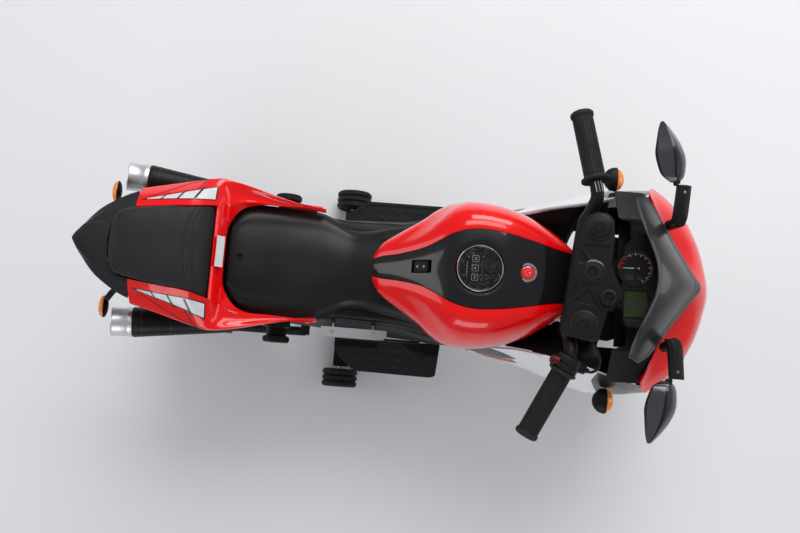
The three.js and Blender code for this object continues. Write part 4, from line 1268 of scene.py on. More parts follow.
CLUSTER = [(353, -44), (352.5, 0), (353, 46), (366, 68), (382, 79), (408, 73), (417, 30), (417, -30),
           (407, -70), (378, -74), (361, -68), (353, -44)]
CLUSTER_Z = 531
TICK_END = 25.2
SCREEN_WELL = [(-17, -83), (-17, -36), (20, -36), (24, -58), (18, -83)]
RED_SHARE = 0.78      # where the red zone begins on the scale


def turn(r, t):
    """The point at radius r and angle t."""
    return r * math.cos(t), r * math.sin(t)


def cluster():
    foot = [V(p.x, p.y, CLUSTER_Z) for p in dense([V(x, y, 0) for x, y in CLUSTER], 6)[:-1]]
    top = [V(p.x, p.y, 549 + (p.x - 352) * 0.275) for p in foot]
    housing = make("cluster_housing", *wrapped(foot, top), SATIN, replaces=["instrument_cluster"],
                   smooth=40)
    well = [turn(29, 2 * math.pi * k / 64) for k in range(64)]
    for depth, outline in (-3.2, well), (-2.4, SCREEN_WELL):
        carve(housing, cutter(*([GAUGE @ V(x, y, z) for x, y in outline] for z in (depth, 20))))
    add_bevel(housing, 0.9)
    plate("cluster_foot", rounded_rect(400, 0, 28, 100, 4), 515.2, 531.2, SATIN)


def gauge():
    """A round rev counter with a plain scale: ticks, a red zone, two small displays and a needle."""
    def shown(name, outline, look, z0=-2.3, z1=-1.9):
        plate(name, outline, z0, z1, look, matrix=GAUGE)
    face = [[0.01, -3.0], [28.4, -3.0], [28.4, -2.2], [0.01, -2.2]]
    look = moulded("gauge_face", (0.004, 0.004, 0.005), (0.01, 0.01, 0.011), 0.3, 900, 0.01)
    middle, z_axis = GAUGE @ V(0, 0, 0), GAUGE.to_3x3() @ UP
    turned("gauge_face", face, middle, z_axis, look, sides=64)
    ring("gauge_rim", 0, 0, -0.6, 29.6, 2.4, 2.4, GLOSS, matrix=GAUGE, sides=72)
    first, sweep, count = math.radians(-62), math.radians(244), 44
    for k in range(count + 1):
        t = first + sweep * k / count
        start, half = (20.5, 0.42) if k % 4 == 0 else (23, 0.22)
        radial, across = V(*turn(1, t), 0), V(-math.sin(t), math.cos(t), 0) * half
        corners = [radial * start - across, radial * TICK_END - across, radial * TICK_END + across,
                   radial * start + across]
        shown(f"gauge_tick_{k:02d}", [(c.x, c.y) for c in corners],
              INK_RED if k > count * RED_SHARE else INK_WHITE)
    start, red, end = (math.degrees(a) for a in (first, first + sweep * RED_SHARE, first + sweep))
    shown("gauge_red_zone", arc(0, 0, 27.4, red, end, 20) + arc(0, 0, 26.0, end, red, 20), INK_RED)
    shown("gauge_scale_line", arc(0, 0, 27.2, start, red, 40) + arc(0, 0, 26.7, red, start, 40), INK_RED)
    shown("gauge_needle", [[-20, -0.35], [-20, 0.35], [6, 1.0], [6, -1.0]], INK_WHITE, -1.6, -1.0)
    turned("gauge_hub", [[0.01, -2.2], [3.2, -2.2], [3.0, -0.6], [0.01, -0.2]], middle, z_axis, SATIN,
           sides=32)
    for k, (x, y, w, h) in enumerate(((-9, -15, 13, 8), (7, -15.5, 8, 7))):
        shown(f"gauge_display_{k}", rounded_rect(x, y, w, h, 1.2), LCD)
    shown("lcd_panel", [[-15.5, -80], [-15.5, -38], [18, -38], [21.5, -58], [16.5, -78]], LCD, -2.6, -1.6)
    for k in range(7):
        shown(f"lcd_bar_{k}", rounded_rect(-8 + k * 3.4, -58, 1.6, 14 + 2 * k, 0.5), INK_BLACK, -1.8, -1.4)


cluster()
gauge()


# ---- side fairings and inner panels ----
# Stations: x, top y and z, middle y, low y and z.
FAIRING_STATIONS = [
    [132, 119, 402, 124, 121, 335], [180, 120, 418, 134, 127, 255], [208, 121, 436, 141, 130, 228],
    [240, 127, 461, 150, 134, 205], [300, 138, 474, 170, 142, 190], [350, 152, 478, 184, 150, 205],
    [400, 166, 476, 182, 152, 280], [428, 170, 470, 176, 156, 340],
]
# Stations: x, inner y and z, outer y and z.
INNER_STATIONS = [
    [190, 103, 416, 115, 424], [215, 97, 422, 118, 438], [244, 83, 421, 123, 459], [262, 74, 419, 127, 464],
    [284, 64, 416, 131, 468], [300, 97.5, 418, 133, 470], [346, 99, 418, 145, 473],
]


def fairing_section(x, values, v):
    yt, zt, ym, yl, zl = values
    points = [V(x, yt, zt), V(x, (yt + ym) / 2 + 3, zt - (zt - zl) * 0.22), V(x, ym, (zt + zl) / 2 + 15),
              V(x, (ym + yl) / 2 + 3, (zt + 2 * zl) / 3), V(x, yl, zl)]
    return along(points, v * 4)


FAIRING = stationed(FAIRING_STATIONS, fairing_section)


def inner_section(x, values, v):
    yi, zi, yo, zo = values
    points = [V(x, yi, zi), V(x, yi + (yo - yi) * 0.5, zi + (zo - zi) * 0.62), V(x, yo - 1.2, zo)]
    return along(points, v * 2)


INNER = stationed(INNER_STATIONS, inner_section)


def fairings():
    for side, mirror in SIDES:
        panel(f"fairing_{side}", FAIRING, WHITE, 60, 44, wall=2.8, mirror=mirror, slot="white_panel",
              bevel=0.8, replaces=[f"side_fairing_{side}"])
        decal("fairing_black_front", FAIRING, INK_BLACK, (0.70, 1.0), lambda share: 0.0,
              lambda share: 0.16 + 0.84 * share, side, slot="white_panel", nu=30, nv=20)
        panel(f"inner_fairing_{side}", INNER, SATIN, 50, 16, wall=2.6, mirror=mirror, bevel=0.7,
              replaces=[f"inner_panel_{side}"])
        film("fairing_wedge", FAIRING, [(0.0, 0.0), (0.1, 0.0), (0.28, 0.24), (0.0, 0.5)], INK_BLACK, side,
             0.75, slot="white_panel", nu=30, nv=12)
        film("fairing_dart", FAIRING, [(0.04, 0.52), (0.26, 0.3), (0.3, 0.35), (0.1, 0.6)], INK_RED, side,
             0.75, slot="white_panel", nu=30)
        # Flat black sheets inside the fairing close the openings below. They stand for the dark parts and the
        # shade seen down through them, so they are partly painted shade.
        panel(f"throat_shade_sheet_{side}", Surface(lambda u, v: V(262 + 50 * u, 62 + 64 * v, 298 + 4 * v)),
              SATIN, 6, 4, wall=2.4, mirror=mirror)
        panel(f"slot_shade_sheet_{side}",
              Surface(lambda u, v: V(300 + 118 * u, 102 + (40 + 14 * u) * v, 398 + 4 * v)),
              SATIN, 6, 4, wall=2.4, mirror=mirror)
        for k, (u, v) in enumerate(((0.08, 0.5), (0.5, 0.72), (0.9, 0.6))):
            flip = -1 if mirror else 1
            p, n = (V(q.x, q.y * flip, q.z) for q in (FAIRING.at(u, v), FAIRING.normal(u, v)))
            screw(f"fairing_screw_{k}_{side}", p + n, 3.6, n)


fairings()
# A black tray under the dash that closes the opening below it. It stands for the dark parts deep below and
# the shade over them, so it is partly painted shade.
DASH_SHADE_TRAY = [[354, -38], [354, 38], [364, 47], [364, 104], [424, 104], [424, -104], [364, -104],
              [364, -47]]
plate("dash_shade_tray", DASH_SHADE_TRAY, 475.4, 478, SATIN, bevel=0.6)


# ---- mirrors ----
# Stations: x, y, half length and half depth of the head.
MIRROR_RINGS = [
    [413, 157.3, 11, 8], [410, 166, 24.5, 14], [408, 180, 31, 17.5], [405, 200, 34, 19],
    [401, 221, 27, 16.5], [395, 240, 16, 10.5], [391, 251, 7, 6], [390, 254, 3.6, 3.6],
]
MIRROR_Z = 602
# The head's section as shares of half length and half depth: rear rim, ridge, front flank, keel.
MIRROR_SECTION = [(-0.75, 0.12), (-0.71, 0.3), (0.04, 0.9), (0.12, 0.93), (0.6, 0.34), (0.75, -0.1),
                  (0.25, -0.9), (-0.4, -0.75)]

STALK_SECTION = [(-1, -0.7), (-1, 0.45), (-0.45, 1), (0.35, 1), (1, 0.4), (1, -0.7)]
MIRROR_FOOT = [(433, 101, 530.5), (432, 100, 548), (430, 98, 570), (429, 97, 586)]


def mirrors():
    places = dense([V(x, y, 0) for x, y, *_ in MIRROR_RINGS], 5)
    extents = dense([V(a, b, 0) for *_, a, b in MIRROR_RINGS], 5)
    for side, mirror in SIDES:
        flip = -1 if mirror else 1
        rings = [[V(p.x + s.x * fx, p.y, MIRROR_Z + s.y * fz) for fx, fz in MIRROR_SECTION]
                 for p, s in zip(places, extents)]
        closed_loft(f"mirror_shell_{side}", rings, GLOSS, body=f"mirror_{side}", slot="gloss_black",
                    mirror=mirror, bevel=0.8, segments=3, smooth=28, replaces=[f"mirror_{side}"])

        def glass_at(u, v):
            k = 4 + (len(places) - 8) * u
            p, s = along(places, k), along(extents, k)
            c = V(-0.66, 0.34, 0).lerp(V(-0.02, 0.85, 0), v)
            return V(p.x + s.x * c.x, p.y, MIRROR_Z + s.y * c.y)
        panel(f"mirror_glass_{side}", Surface(glass_at), GLASS, 40, 10, wall=0.5, up=-1, lift=0.75,
              mirror=mirror, body=f"mirror_{side}", slot="gloss_black")
        arm = dense([V(426, 91, 585), V(428, 104, 592), V(429.2, 128, 596), V(430, 150, 599),
                     V(430, 153.4, 599)], 5)
        rings = [[p + V(11.2 * cx, 0, (8.6 - 2.6 * i / (len(arm) - 1)) * cz) for cx, cz in STALK_SECTION]
                 for i, p in enumerate(arm)]
        closed_loft(f"mirror_stalk_{side}", rings, SATIN, mirror=mirror, bevel=0.6,
                    replaces=[f"mirror_arm_{side}"])
        foot = [V(x, y * flip, z) for x, y, z in MIRROR_FOOT]
        tube(f"mirror_foot_{side}", dense(foot, 4), 9, SATIN, sides=28)
        screw(f"mirror_screw_{side}", V(430, 142 * flip, 604.6), 2.4)
        turned(f"mirror_pin_{side}", [[0.01, 0], [3.4, 0], [3.4, 15], [2.8, 15.6], [0.01, 15.6]],
               V(418, 156.5 * flip, 592), UP, SATIN, sides=24, body=f"mirror_{side}")


mirrors()


# ---- body shells ----
# Stations: x, top z, shoulder y, widest y and z, lower y and z, base z.
BODY_STATIONS = [
    [-430, 440, 50, 60, 425, 48, 408, 398], [-340, 416, 74, 88, 396, 78, 360, 340],
    [-306, 390, 82, 93, 376, 84, 322, 300], [-250, 390, 84, 94, 370, 86, 290, 266],
    [-180, 390, 88, 95, 362, 94, 210, 160], [-100, 390, 82, 91, 360, 98, 160, 124],
    [0, 390, 84, 98, 352, 104, 160, 124], [60, 391, 92, 110, 352, 106, 160, 124],
    [72, 422, 106, 114, 356, 106, 160, 124], [112, 424, 112, 116, 356, 106, 162, 126],
    [170, 427, 104, 113, 356, 98, 176, 138], [212, 438, 88, 100, 356, 88, 192, 158],
    [244, 452, 70, 88, 352, 78, 206, 176], [276, 476, 44, 68, 350, 60, 234, 212],
]
PEG_AT, PEG_R, PEG_FROM, PEG_TO = (-215, 320), 24, 86, 137


def straight(points, s):
    k = min(max(int(s), 0), len(points) - 2)
    return points[k].lerp(points[k + 1], s - k)


def body_section(x, values, v):
    zt, ys, yw, zw, yl, zl, zb = values
    points = [V(x, 0.4, zt), V(x, ys * 0.6, zt), V(x, ys, zt - 4), V(x, (ys + yw) / 2 + 3, (zt + zw) / 2),
              V(x, yw, zw),
              V(x, (yw + yl) / 2 + 2, (zw + zl) / 2), V(x, yl, zl), V(x, yl * 0.75, zb), V(x, 0.4, zb)]
    s = v * 8
    p = along(points, s) if 1.5 < s < 6.5 else straight(points, s)
    rib = 2.2 * math.exp(-((s - 5.25) / 0.16) ** 2) - 1.6 * math.exp(-((s - 4.72) / 0.12) ** 2)
    return V(p.x, max(p.y + (rib if p.y > 10 else 0), 0.4), p.z)


def body_at(u, v):
    first, last = BODY_STATIONS[0][0], BODY_STATIONS[-1][0]
    x = first + (last - first) * u
    a, b = next((a, b) for a, b in zip(BODY_STATIONS[-2::-1], BODY_STATIONS[:0:-1]) if a[0] <= x + WELD)
    t = (x - a[0]) / (b[0] - a[0])
    return body_section(x, [p + (q - p) * t for p, q in zip(a[1:], b[1:])], v)


BODY = Surface(body_at)


def bodies():
    for side, mirror in SIDES:
        flip = -1 if mirror else 1
        panel(f"body_side_{side}", BODY, SATIN, 150, 64, wall=3.6, mirror=mirror,
              replaces=[f"body_shell_{side}"])
        x, z = PEG_AT
        foot, out = V(x, PEG_FROM * flip, z), V(0, flip, 0)
        length = PEG_TO - PEG_FROM
        turned(f"peg_{side}", [[PEG_R, 0], [PEG_R, 22], [PEG_R - 6, 25], [PEG_R - 6, length - 13],
                               [PEG_R - 1, length - 11], [PEG_R - 1, length - 1.5], [PEG_R - 2.5, length],
                               [10, length], [9, length - 2], [0.01, length - 2]], foot, out, SATIN,
               sides=40)
        for k in range(12):
            a = 2 * math.pi * k / 12
            tube(f"peg_rib_{k:02d}_{side}", [foot + out * h + V(math.cos(a), 0, math.sin(a)) * (PEG_R - 0.6)
                                             for h in (length - 10, length - 2.5)], 1.1, SATIN, sides=8)
        for k, (sx, sv) in enumerate(((0.2, 0.56), (0.38, 0.6), (0.55, 0.62), (0.74, 0.6))):
            p, n = (V(q.x, q.y * flip, q.z) for q in (BODY.at(sx, sv), BODY.normal(sx, sv)))
            screw(f"body_screw_{k}_{side}", p + n * 0.6, 4, n)


bodies()


def frame_plate():
    """A bare metal bracket on the rider's right, below the seat's edge."""
    outline = [[-132, -121], [-24, -121], [-16, -116], [-16, -104], [-132, -104]]
    plate("frame_plate_top", outline, 389, 391, PLATE, slot="steel", bevel=0.4)
    side = [[-128, 356], [-36, 362], [-20, 389], [-132, 389]]
    turn = Matrix(((1, 0, 0, 0), (0, 0, -1, 0), (0, 1, 0, 0), (0, 0, 0, 1)))
    plate("frame_plate_side", side, 118.6, 120.6, PLATE, matrix=turn, slot="steel", bevel=0.4)
    for k, x in enumerate((-112, -40)):
        screw(f"frame_plate_screw_{k}", V(x, -112, 391.4), 3.6)
        tube(f"frame_plate_post_{k}", [V(x, -112, 388), V(x, -112, 374), V(x, -100, 366), V(x, -92, 364)],
             4, STEEL, slot="steel")


frame_plate()


# ---- footboards, training wheels and cross bar ----
BOARD = [[-112, 109], [-112, 128], [-100, 150], [-74, 172], [-60, 176], [88, 178], [98, 174], [104, 109]]
BOARD_INNER = [[-104, 112], [-104, 128], [-92, 147], [-70, 166], [-57, 170], [86, 172], [92, 168],
               [98, 112]]
BOARD_Z, BOARD_FLOOR, BOARD_TOP = 118, 129, 132


def soften(outline):
    """The outline with its corners rounded."""
    cut = 0.22
    out = []
    n = len(outline)
    for k in range(n):
        p = Vector(outline[k])
        before, after = Vector(outline[k - 1]), Vector(outline[(k + 1) % n])
        a, b = p + (before - p).normalized() * 4, p + (after - p).normalized() * 4
        out += [list(a), list(a.lerp(p, 1 - cut).lerp(b, cut)), list(a.lerp(b, 0.5).lerp(p, 0.5)),
                list(b.lerp(p, 1 - cut).lerp(a, cut)), list(b)]
    return out


def footboards():
    for side, mirror in SIDES:
        look = dict(mirror=mirror, slot="gloss_black")
        outer, inner = soften(BOARD), soften(BOARD_INNER)
        plate(f"footboard_base_{side}", outer, BOARD_Z, BOARD_FLOOR, GLOSS, bevel=0.8,
              replaces=[f"footboard_{side}"], **look)
        loop = (BOARD_FLOOR, outer), (BOARD_TOP, outer), (BOARD_TOP, inner), (BOARD_FLOOR, inner)
        verts = [V(x, y, z) for z, outline in loop for x, y in outline]
        n = len(outer)
        faces = [(j * n + i, j * n + (i + 1) % n, (j + 1) % 4 * n + (i + 1) % n, (j + 1) % 4 * n + i)
                 for j in range(4) for i in range(n)]
        make(f"footboard_rim_{side}", verts, faces, GLOSS, bevel=0.7, **look)
        for row in range(3):
            for k in range(1 if row == 2 else 0, 6):
                x, y = -62 + k * 26, 118 + row * 17
                wing = [[x - 10, y], [x, y + 9], [x + 10, y], [x + 10, y + 4], [x, y + 13], [x - 10, y + 4]]
                plate(f"tread_{row}_{k}_{side}", wing, BOARD_FLOOR, BOARD_FLOOR + 1.6, GLOSS, bevel=0.5,
                      **look)
        hook = [[-60, 106.6], [60, 106.6], [60, 111.8], [-60, 111.8]]
        plate(f"footboard_hook_{side}", hook, 116.2, 151.8, GLOSS, bevel=0.8, **look)


TRAINER_Y = 173
TRAINER_PROFILE = [
    [7, 0], [16, 0], [17, 2.5], [27, 2.5], [28, 0], [33, 0], [37, 4], [37, 10.5], [34, 12.2], [34, 14.4],
    [37, 16],
    [37, 22.5], [34, 24.4], [34, 26.4], [37, 28], [37, 34], [33, 38], [28, 38], [26.5, 35], [17, 35],
    [16, 38], [7, 38],
]


def trainers():
    bar("cross_beam", TRAINER_X - 16, TRAINER_X + 16, -168, 168, 27, 53, SATIN, r=3, bevel=1.5,
        replaces=["training_bar"])
    for k, y in enumerate((-70, 70)):
        bar(f"cross_post_{k}", TRAINER_X - 14, TRAINER_X + 14, y - 10, y + 10, 46, 123.5, SATIN, r=2,
            bevel=1)
    for side, flip in FLIPS:
        out = V(0, flip, 0)
        name = f"training_wheel_{side}"
        turned(f"trainer_tyre_{side}", TRAINER_PROFILE, V(TRAINER_X, TRAINER_Y * flip, TRAINER_R), out,
               RUBBER, sides=64, closed=True, body=name, slot="wheel_plastic", bevel=0.5, replaces=[name])
        for k in range(5):
            a = 2 * math.pi * k / 5
            tube(f"trainer_rib_{k}_{side}",
                 [V(TRAINER_X + r * math.cos(a), (TRAINER_Y + 35.2) * flip, TRAINER_R + r * math.sin(a))
                                             for r in (16.5, 27)], 1.6, RUBBER, sides=8, body=name,
                 slot="wheel_plastic")
        turned(f"trainer_pin_{side}", [[6, 0], [6, 38], [10, 38.4], [10, 39.6], [6.5, 41], [0.01, 41.3]],
               V(TRAINER_X, (TRAINER_Y - 5.5) * flip, TRAINER_R), out, STEEL, sides=32, slot="steel")


footboards()
trainers()


# ---- steering group: modelled with the wheel straight ahead, then turned to its rest ----
BAR_DIR = (GRIP_OUTER - GRIP_INNER).normalized()
GRIP_LENGTH = (GRIP_OUTER - GRIP_INNER).length
CROWN = Matrix.Translation(STEM_TOP) @ Matrix.Rotation(-RAKE, 4, "Y")


def steered(body="steering", **kw):
    return dict(body=body, steer=True, **kw)


def head_axis(z):
    return STEM_TOP + STEER_UP * ((z - STEM_TOP.z) / STEER_UP.z)


def circle_of(r, count, place):
    """The ring of points that place(c, s) gives for c and s on a circle of radius r."""
    return [place(r * math.cos(t), r * math.sin(t))
            for t in [2 * math.pi * k / count for k in range(count)]]


def bar_point(distance, flip=1):
    p = GRIP_INNER - BAR_DIR * distance
    return V(p.x, p.y * flip, p.z)


def crown():
    outline = [[266, -102], [265, -60], [263, 0], [265, 60], [272, 90], [283, 101], [304, 101], [315, 92],
               [321, 60], [322, 24], [331, 3], [343, -13], [346, -29], [339, -43], [328, -53], [321, -102]]
    outline = [[x - STEM_TOP.x, y] for x, y in outline]
    kw = steered()
    body = plate("crown_plate", outline, -8, 5.5, SATIN, matrix=CROWN, bevel=2.4, segments=4,
                 replaces=["fork_crown"], **kw)
    for flip in (1, -1):
        for pocket in ((-22, 46), (20, 50), (-2, 22)), ((-24, 16), (-24, 38), (-8, 18)):
            carve(body, cutter(*([STEER @ (CROWN @ V(x, y * flip, z)) for x, y in pocket]
                                 for z in (3.2, 14))))
    up = STEER_UP
    for side, flip in FLIPS:
        foot = CROWN @ V(0, FORK_Y * flip, 0)
        cap = [[15, -54], [15, 6], [18, 6.4], [18, 9], [16.5, 11], [10, 12.2], [6, 12.4], [5, 11.2],
               [0.01, 11.2]]
        turned(f"post_cap_{side}", cap, foot, up, SATIN, **kw)
        turned(f"post_ring_{side}", [[21, 4], [21, 7], [18.4, 8], [18.4, 4]], foot, up, SATIN, closed=True,
               **kw)
    nut, key = CROWN @ V(0, 5, 0), V(31, -31, 0)
    turned("stem_nut", [[16, 4], [16, 9], [13.5, 12], [8, 12.4], [7, 10.4], [0.01, 10.4]], nut, up, SATIN,
           sides=6, **kw)
    turned("stem_washer", [[20, 4], [20, 6.6], [18, 7.4], [13, 7.4], [13, 4]], nut, up, GLOSS, closed=True,
           **kw)
    turned("key_barrel", [[14, 3], [14, 8], [12.5, 11], [9, 11.6], [8.4, 9], [0.01, 8.6]], CROWN @ key, up,
           SATIN, sides=40, **kw)
    turned("key_ring", [[8.6, 8], [8.6, 11], [7.4, 11], [7.4, 8]], CROWN @ key, up, BLACK_METAL,
           closed=True, slot="steel", **kw)
    bar("key_slot", -5, 5, -0.9, 0.9, 8.4, 10.4, BLACK_METAL, matrix=CROWN @ Matrix.Translation(key), r=0.4,
        slot="steel", **kw)


def handlebar():
    half = [GRIP_OUTER - BAR_DIR * 1.5, bar_point(26), V(281, 101, 553.5), V(274, 88, 551)]
    path = half + [V(p.x, -p.y, p.z) for p in half[::-1]]
    fine = []
    for a, b in zip(path, path[1:]):
        fine += [a.lerp(b, k / 10) for k in range(10)]
    fine.append(path[-1])
    for _ in range(3):
        fine = [fine[0]] + [(fine[i - 1] + fine[i] * 2 + fine[i + 1]) / 4
                            for i in range(1, len(fine) - 1)] + [fine[-1]]
    tube("bar_tube", fine, BAR_R - 0.2, SATIN, sides=32, replaces=["handlebar"], **steered())
    for k, lean in enumerate((-24, 2, 28)):
        lean = math.radians(lean)
        out = UP * math.cos(lean) + FORWARD * math.sin(lean)
        out = (out - BAR_DIR * out.dot(BAR_DIR)).normalized()
        line = [bar_point(d) + out * (BAR_R + 0.1) for d in (3, 8, 13, 18, 23)]
        tube(f"bar_ridge_{k}", line, 0.9, CHROME if k < 2 else STEEL, sides=8, slot="steel", **steered())


# The grip's plain ends: height and radius, the second from the grip's end and then back through its bore.
GRIP_FLANGE = [(0.0, 22.6), (0.5, 23), (3.6, 23), (4.2, 22.4), (6.5, 18.4), (7.5, 17.8)]
GRIP_END = [(-2, 17.8), (0, 19.3), (4.6, 19.3), (6.6, 17.4), (7, 15), (7, 3.5), (0.8, 3.5),
            (0.8, BAR_R + 0.5)]


def grip(name, flip, body):
    """A ribbed rubber grip: an inner collar, long shallow ribs crossed by fine rings, and an end flange."""
    rows, cols = 170, 120
    side, upright = frame_on(BAR_DIR)
    verts, faces = [], []

    def ribbed(h):
        def radius(t):
            ribs = max(0.0, math.cos(20 * t)) ** 0.6
            rings = 0.5 + 0.5 * math.cos(2 * math.pi * h / 3.4)
            return 16.7 + 0.75 * ribs * (0.45 + 0.55 * rings)
        return radius
    middle = [8 + (GRIP_LENGTH - 11) * i / rows for i in range(rows + 1)]
    stations = [*GRIP_FLANGE, *((h, ribbed(h)) for h in middle),
                *((GRIP_LENGTH + h, r) for h, r in GRIP_END), (0, BAR_R + 0.5)]
    for h, r in stations:
        for k in range(cols):
            t = 2 * math.pi * k / cols
            p = GRIP_INNER + BAR_DIR * h
            p += (side * math.cos(t) + upright * math.sin(t)) * (r(t) if callable(r) else r)
            verts.append(V(p.x, p.y * flip, p.z))
    count = len(stations)
    for i in range(count):
        for k in range(cols):
            a, b = i * cols + k, i * cols + (k + 1) % cols
            m = ((i + 1) % count) * cols
            faces.append((a, b, m + (k + 1) % cols, m + k))
    make(f"{name}_rubber", verts, faces, RUBBER, slot="grip_rubber", replaces=[name], smooth=45,
         **steered(body))


POD_CLAMP = [[BAR_R + 0.7, 0], [20, 0], [21, 1.5], [21, 8], [19.4, 9.5], [19.4, 13], [20.4, 14.5],
             [19.6, 21], [17.5, 23], [BAR_R + 0.7, 23]]
POD_ARM = [V(289, -142, 560.5), V(296, -143.5, 559.5), V(304, -145.5, 558), V(311, -147.3, 556.6),
           V(314.6, -148, 556.1)]
POD_BLOCK = [[259, -149.5], [259, -134.5], [263, -132.6], [289, -132.6], [293.4, -136], [293.4, -148],
             [290, -151], [263, -151]]
HORN_Y, HORN_Z = -142, 571


def throttle_pod():
    kw = steered()
    inner = bar_point(1, -1)
    out = (bar_point(24, -1) - inner).normalized()
    clamp = turned("pod_clamp", POD_CLAMP, inner, out, SATIN, sides=56, closed=True,
                   replaces=["throttle_housing"], **kw)
    tube("pod_arm", dense(POD_ARM, 4), lambda s: 11.2 - 3.6 * s, SATIN, sides=28, **kw)
    body = plate("pod_block", soften(POD_BLOCK), 560.6, 582.6, SATIN, bevel=0.8, **kw)
    for piece in (body, clamp):
        carve(piece, cutter(*(circle_of(8, 40, lambda c, s: STEER @ V(x, HORN_Y + c, HORN_Z + s))
                              for x in (270.6, 240))))
    turned("horn_cap", [[0.01, 0], [7, 0], [7, 11.4], [6.2, 13.6], [4, 14.6], [0.01, 14.8]],
           V(268, HORN_Y, HORN_Z),
           BACK, DARK_RED, slot="red_button", replaces=["horn_button"], **steered("horn"))
    turned("horn_bezel", [[8.1, 0], [9.4, 0], [9.4, 2.4], [8.4, 3], [8.1, 3]], V(259.4, HORN_Y, HORN_Z),
           BACK, SATIN, closed=True, **kw)
    for k, x in enumerate((266, 287)):
        screw(f"pod_screw_{k}", V(x, -147, 582.8), 2.1, look=SATIN, **kw)


def cable():
    path = [V(315.8, -148.2, 555.9), V(325, -150, 555), V(334, -144, 555), V(337, -132, 555),
            V(333, -120, 556), V(325, -109, 557), V(318, -101, 557), V(315.4, -96.4, 556)]
    tube("throttle_cable", dense(path, 10), 2.4, RUBBER, sides=20, replaces=["control_cable"], **steered())
    boot = [[3.9, -0.8], [4.3, 1], [4.1, 3], [3.2, 5.6], [2.6, 6], [2.6, -0.8]]
    for k, (a, b) in enumerate(((path[0], path[1]), (path[-1], path[-2]))):
        turned(f"cable_boot_{k}", boot, a, b - a, RUBBER, sides=28, closed=True, **steered())


def forks():
    kw = steered()
    low = head_axis(92)
    reach, shoulder = ((head_axis(z) - low).length for z in (520, 306))
    slider = [[0.01, 0], [12, 0], [15.5, 3], [16.8, 8], [16.8, 42], [15.8, 46], [15.8, shoulder - 26],
              [17, shoulder - 22], [17, shoulder - 2], [15.5, shoulder], [14, shoulder], [14, reach],
              [0.01, reach]]
    for side, flip in FLIPS:
        base = low + V(0, FORK_Y * flip, 0)
        leg = turned(f"fork_slider_{side}", slider, base, STEER_UP, BLACK_METAL, sides=56,
                     slot="fork_silver", replaces=[f"fork_leg_{side}"], **kw)
        carve(leg, cutter(*(circle_of(8.6, 32, lambda c,
                                      s: STEER @ V(FRONT_AXLE.x + c, y * flip, FRONT_AXLE.z + s))
                            for y in (60, 96))))
        for k in range(9):
            turned(f"fork_gaiter_{k}_{side}", [[14.1, 0], [16.4, 2.6], [14.1, 5.2]],
                   base + STEER_UP * (shoulder + 3 + k * 5.3), STEER_UP, RUBBER, sides=40, closed=True,
                   slot="grip_rubber", **kw)
        turned(f"axle_nut_{side}", [[8.1, 0], [13, 0], [13, 5], [11.6, 6.5], [8.1, 6.5]],
               V(FRONT_AXLE.x, 95.6 * flip, FRONT_AXLE.z), V(0, -flip, 0), STEEL, sides=6, slot="steel",
               closed=True, **kw)


def mudguard():
    radius = WHEEL_R + 9

    def at(u, v):
        a = math.radians(28 + 118 * u)
        y = 40 - 80 * v
        r = radius - 1.1 * max(0, abs(y) - 27) + 2.6 * math.exp(-(y / 11) ** 4)
        trim = 6 * (2 * u - 1) ** 6 * (abs(y) / 40)
        a -= math.radians(trim * (1 if u > 0.5 else -1))
        return V(FRONT_AXLE.x + r * math.cos(a), y, FRONT_AXLE.z + r * math.sin(a))
    panel("mudguard_shell", Surface(at), GLOSS, 70, 40, wall=2.8, lift=2.8, replaces=["front_mudguard"],
          slot="gloss_black", bevel=0.7, **steered())
    for side, flip in FLIPS:
        p = FRONT_AXLE + STEER_UP * 112
        tube(f"mudguard_stay_{side}", [V(p.x, y * flip, p.z) for y in (37, 48, 60.4)], 6.6, SATIN, sides=24,
             **steered())


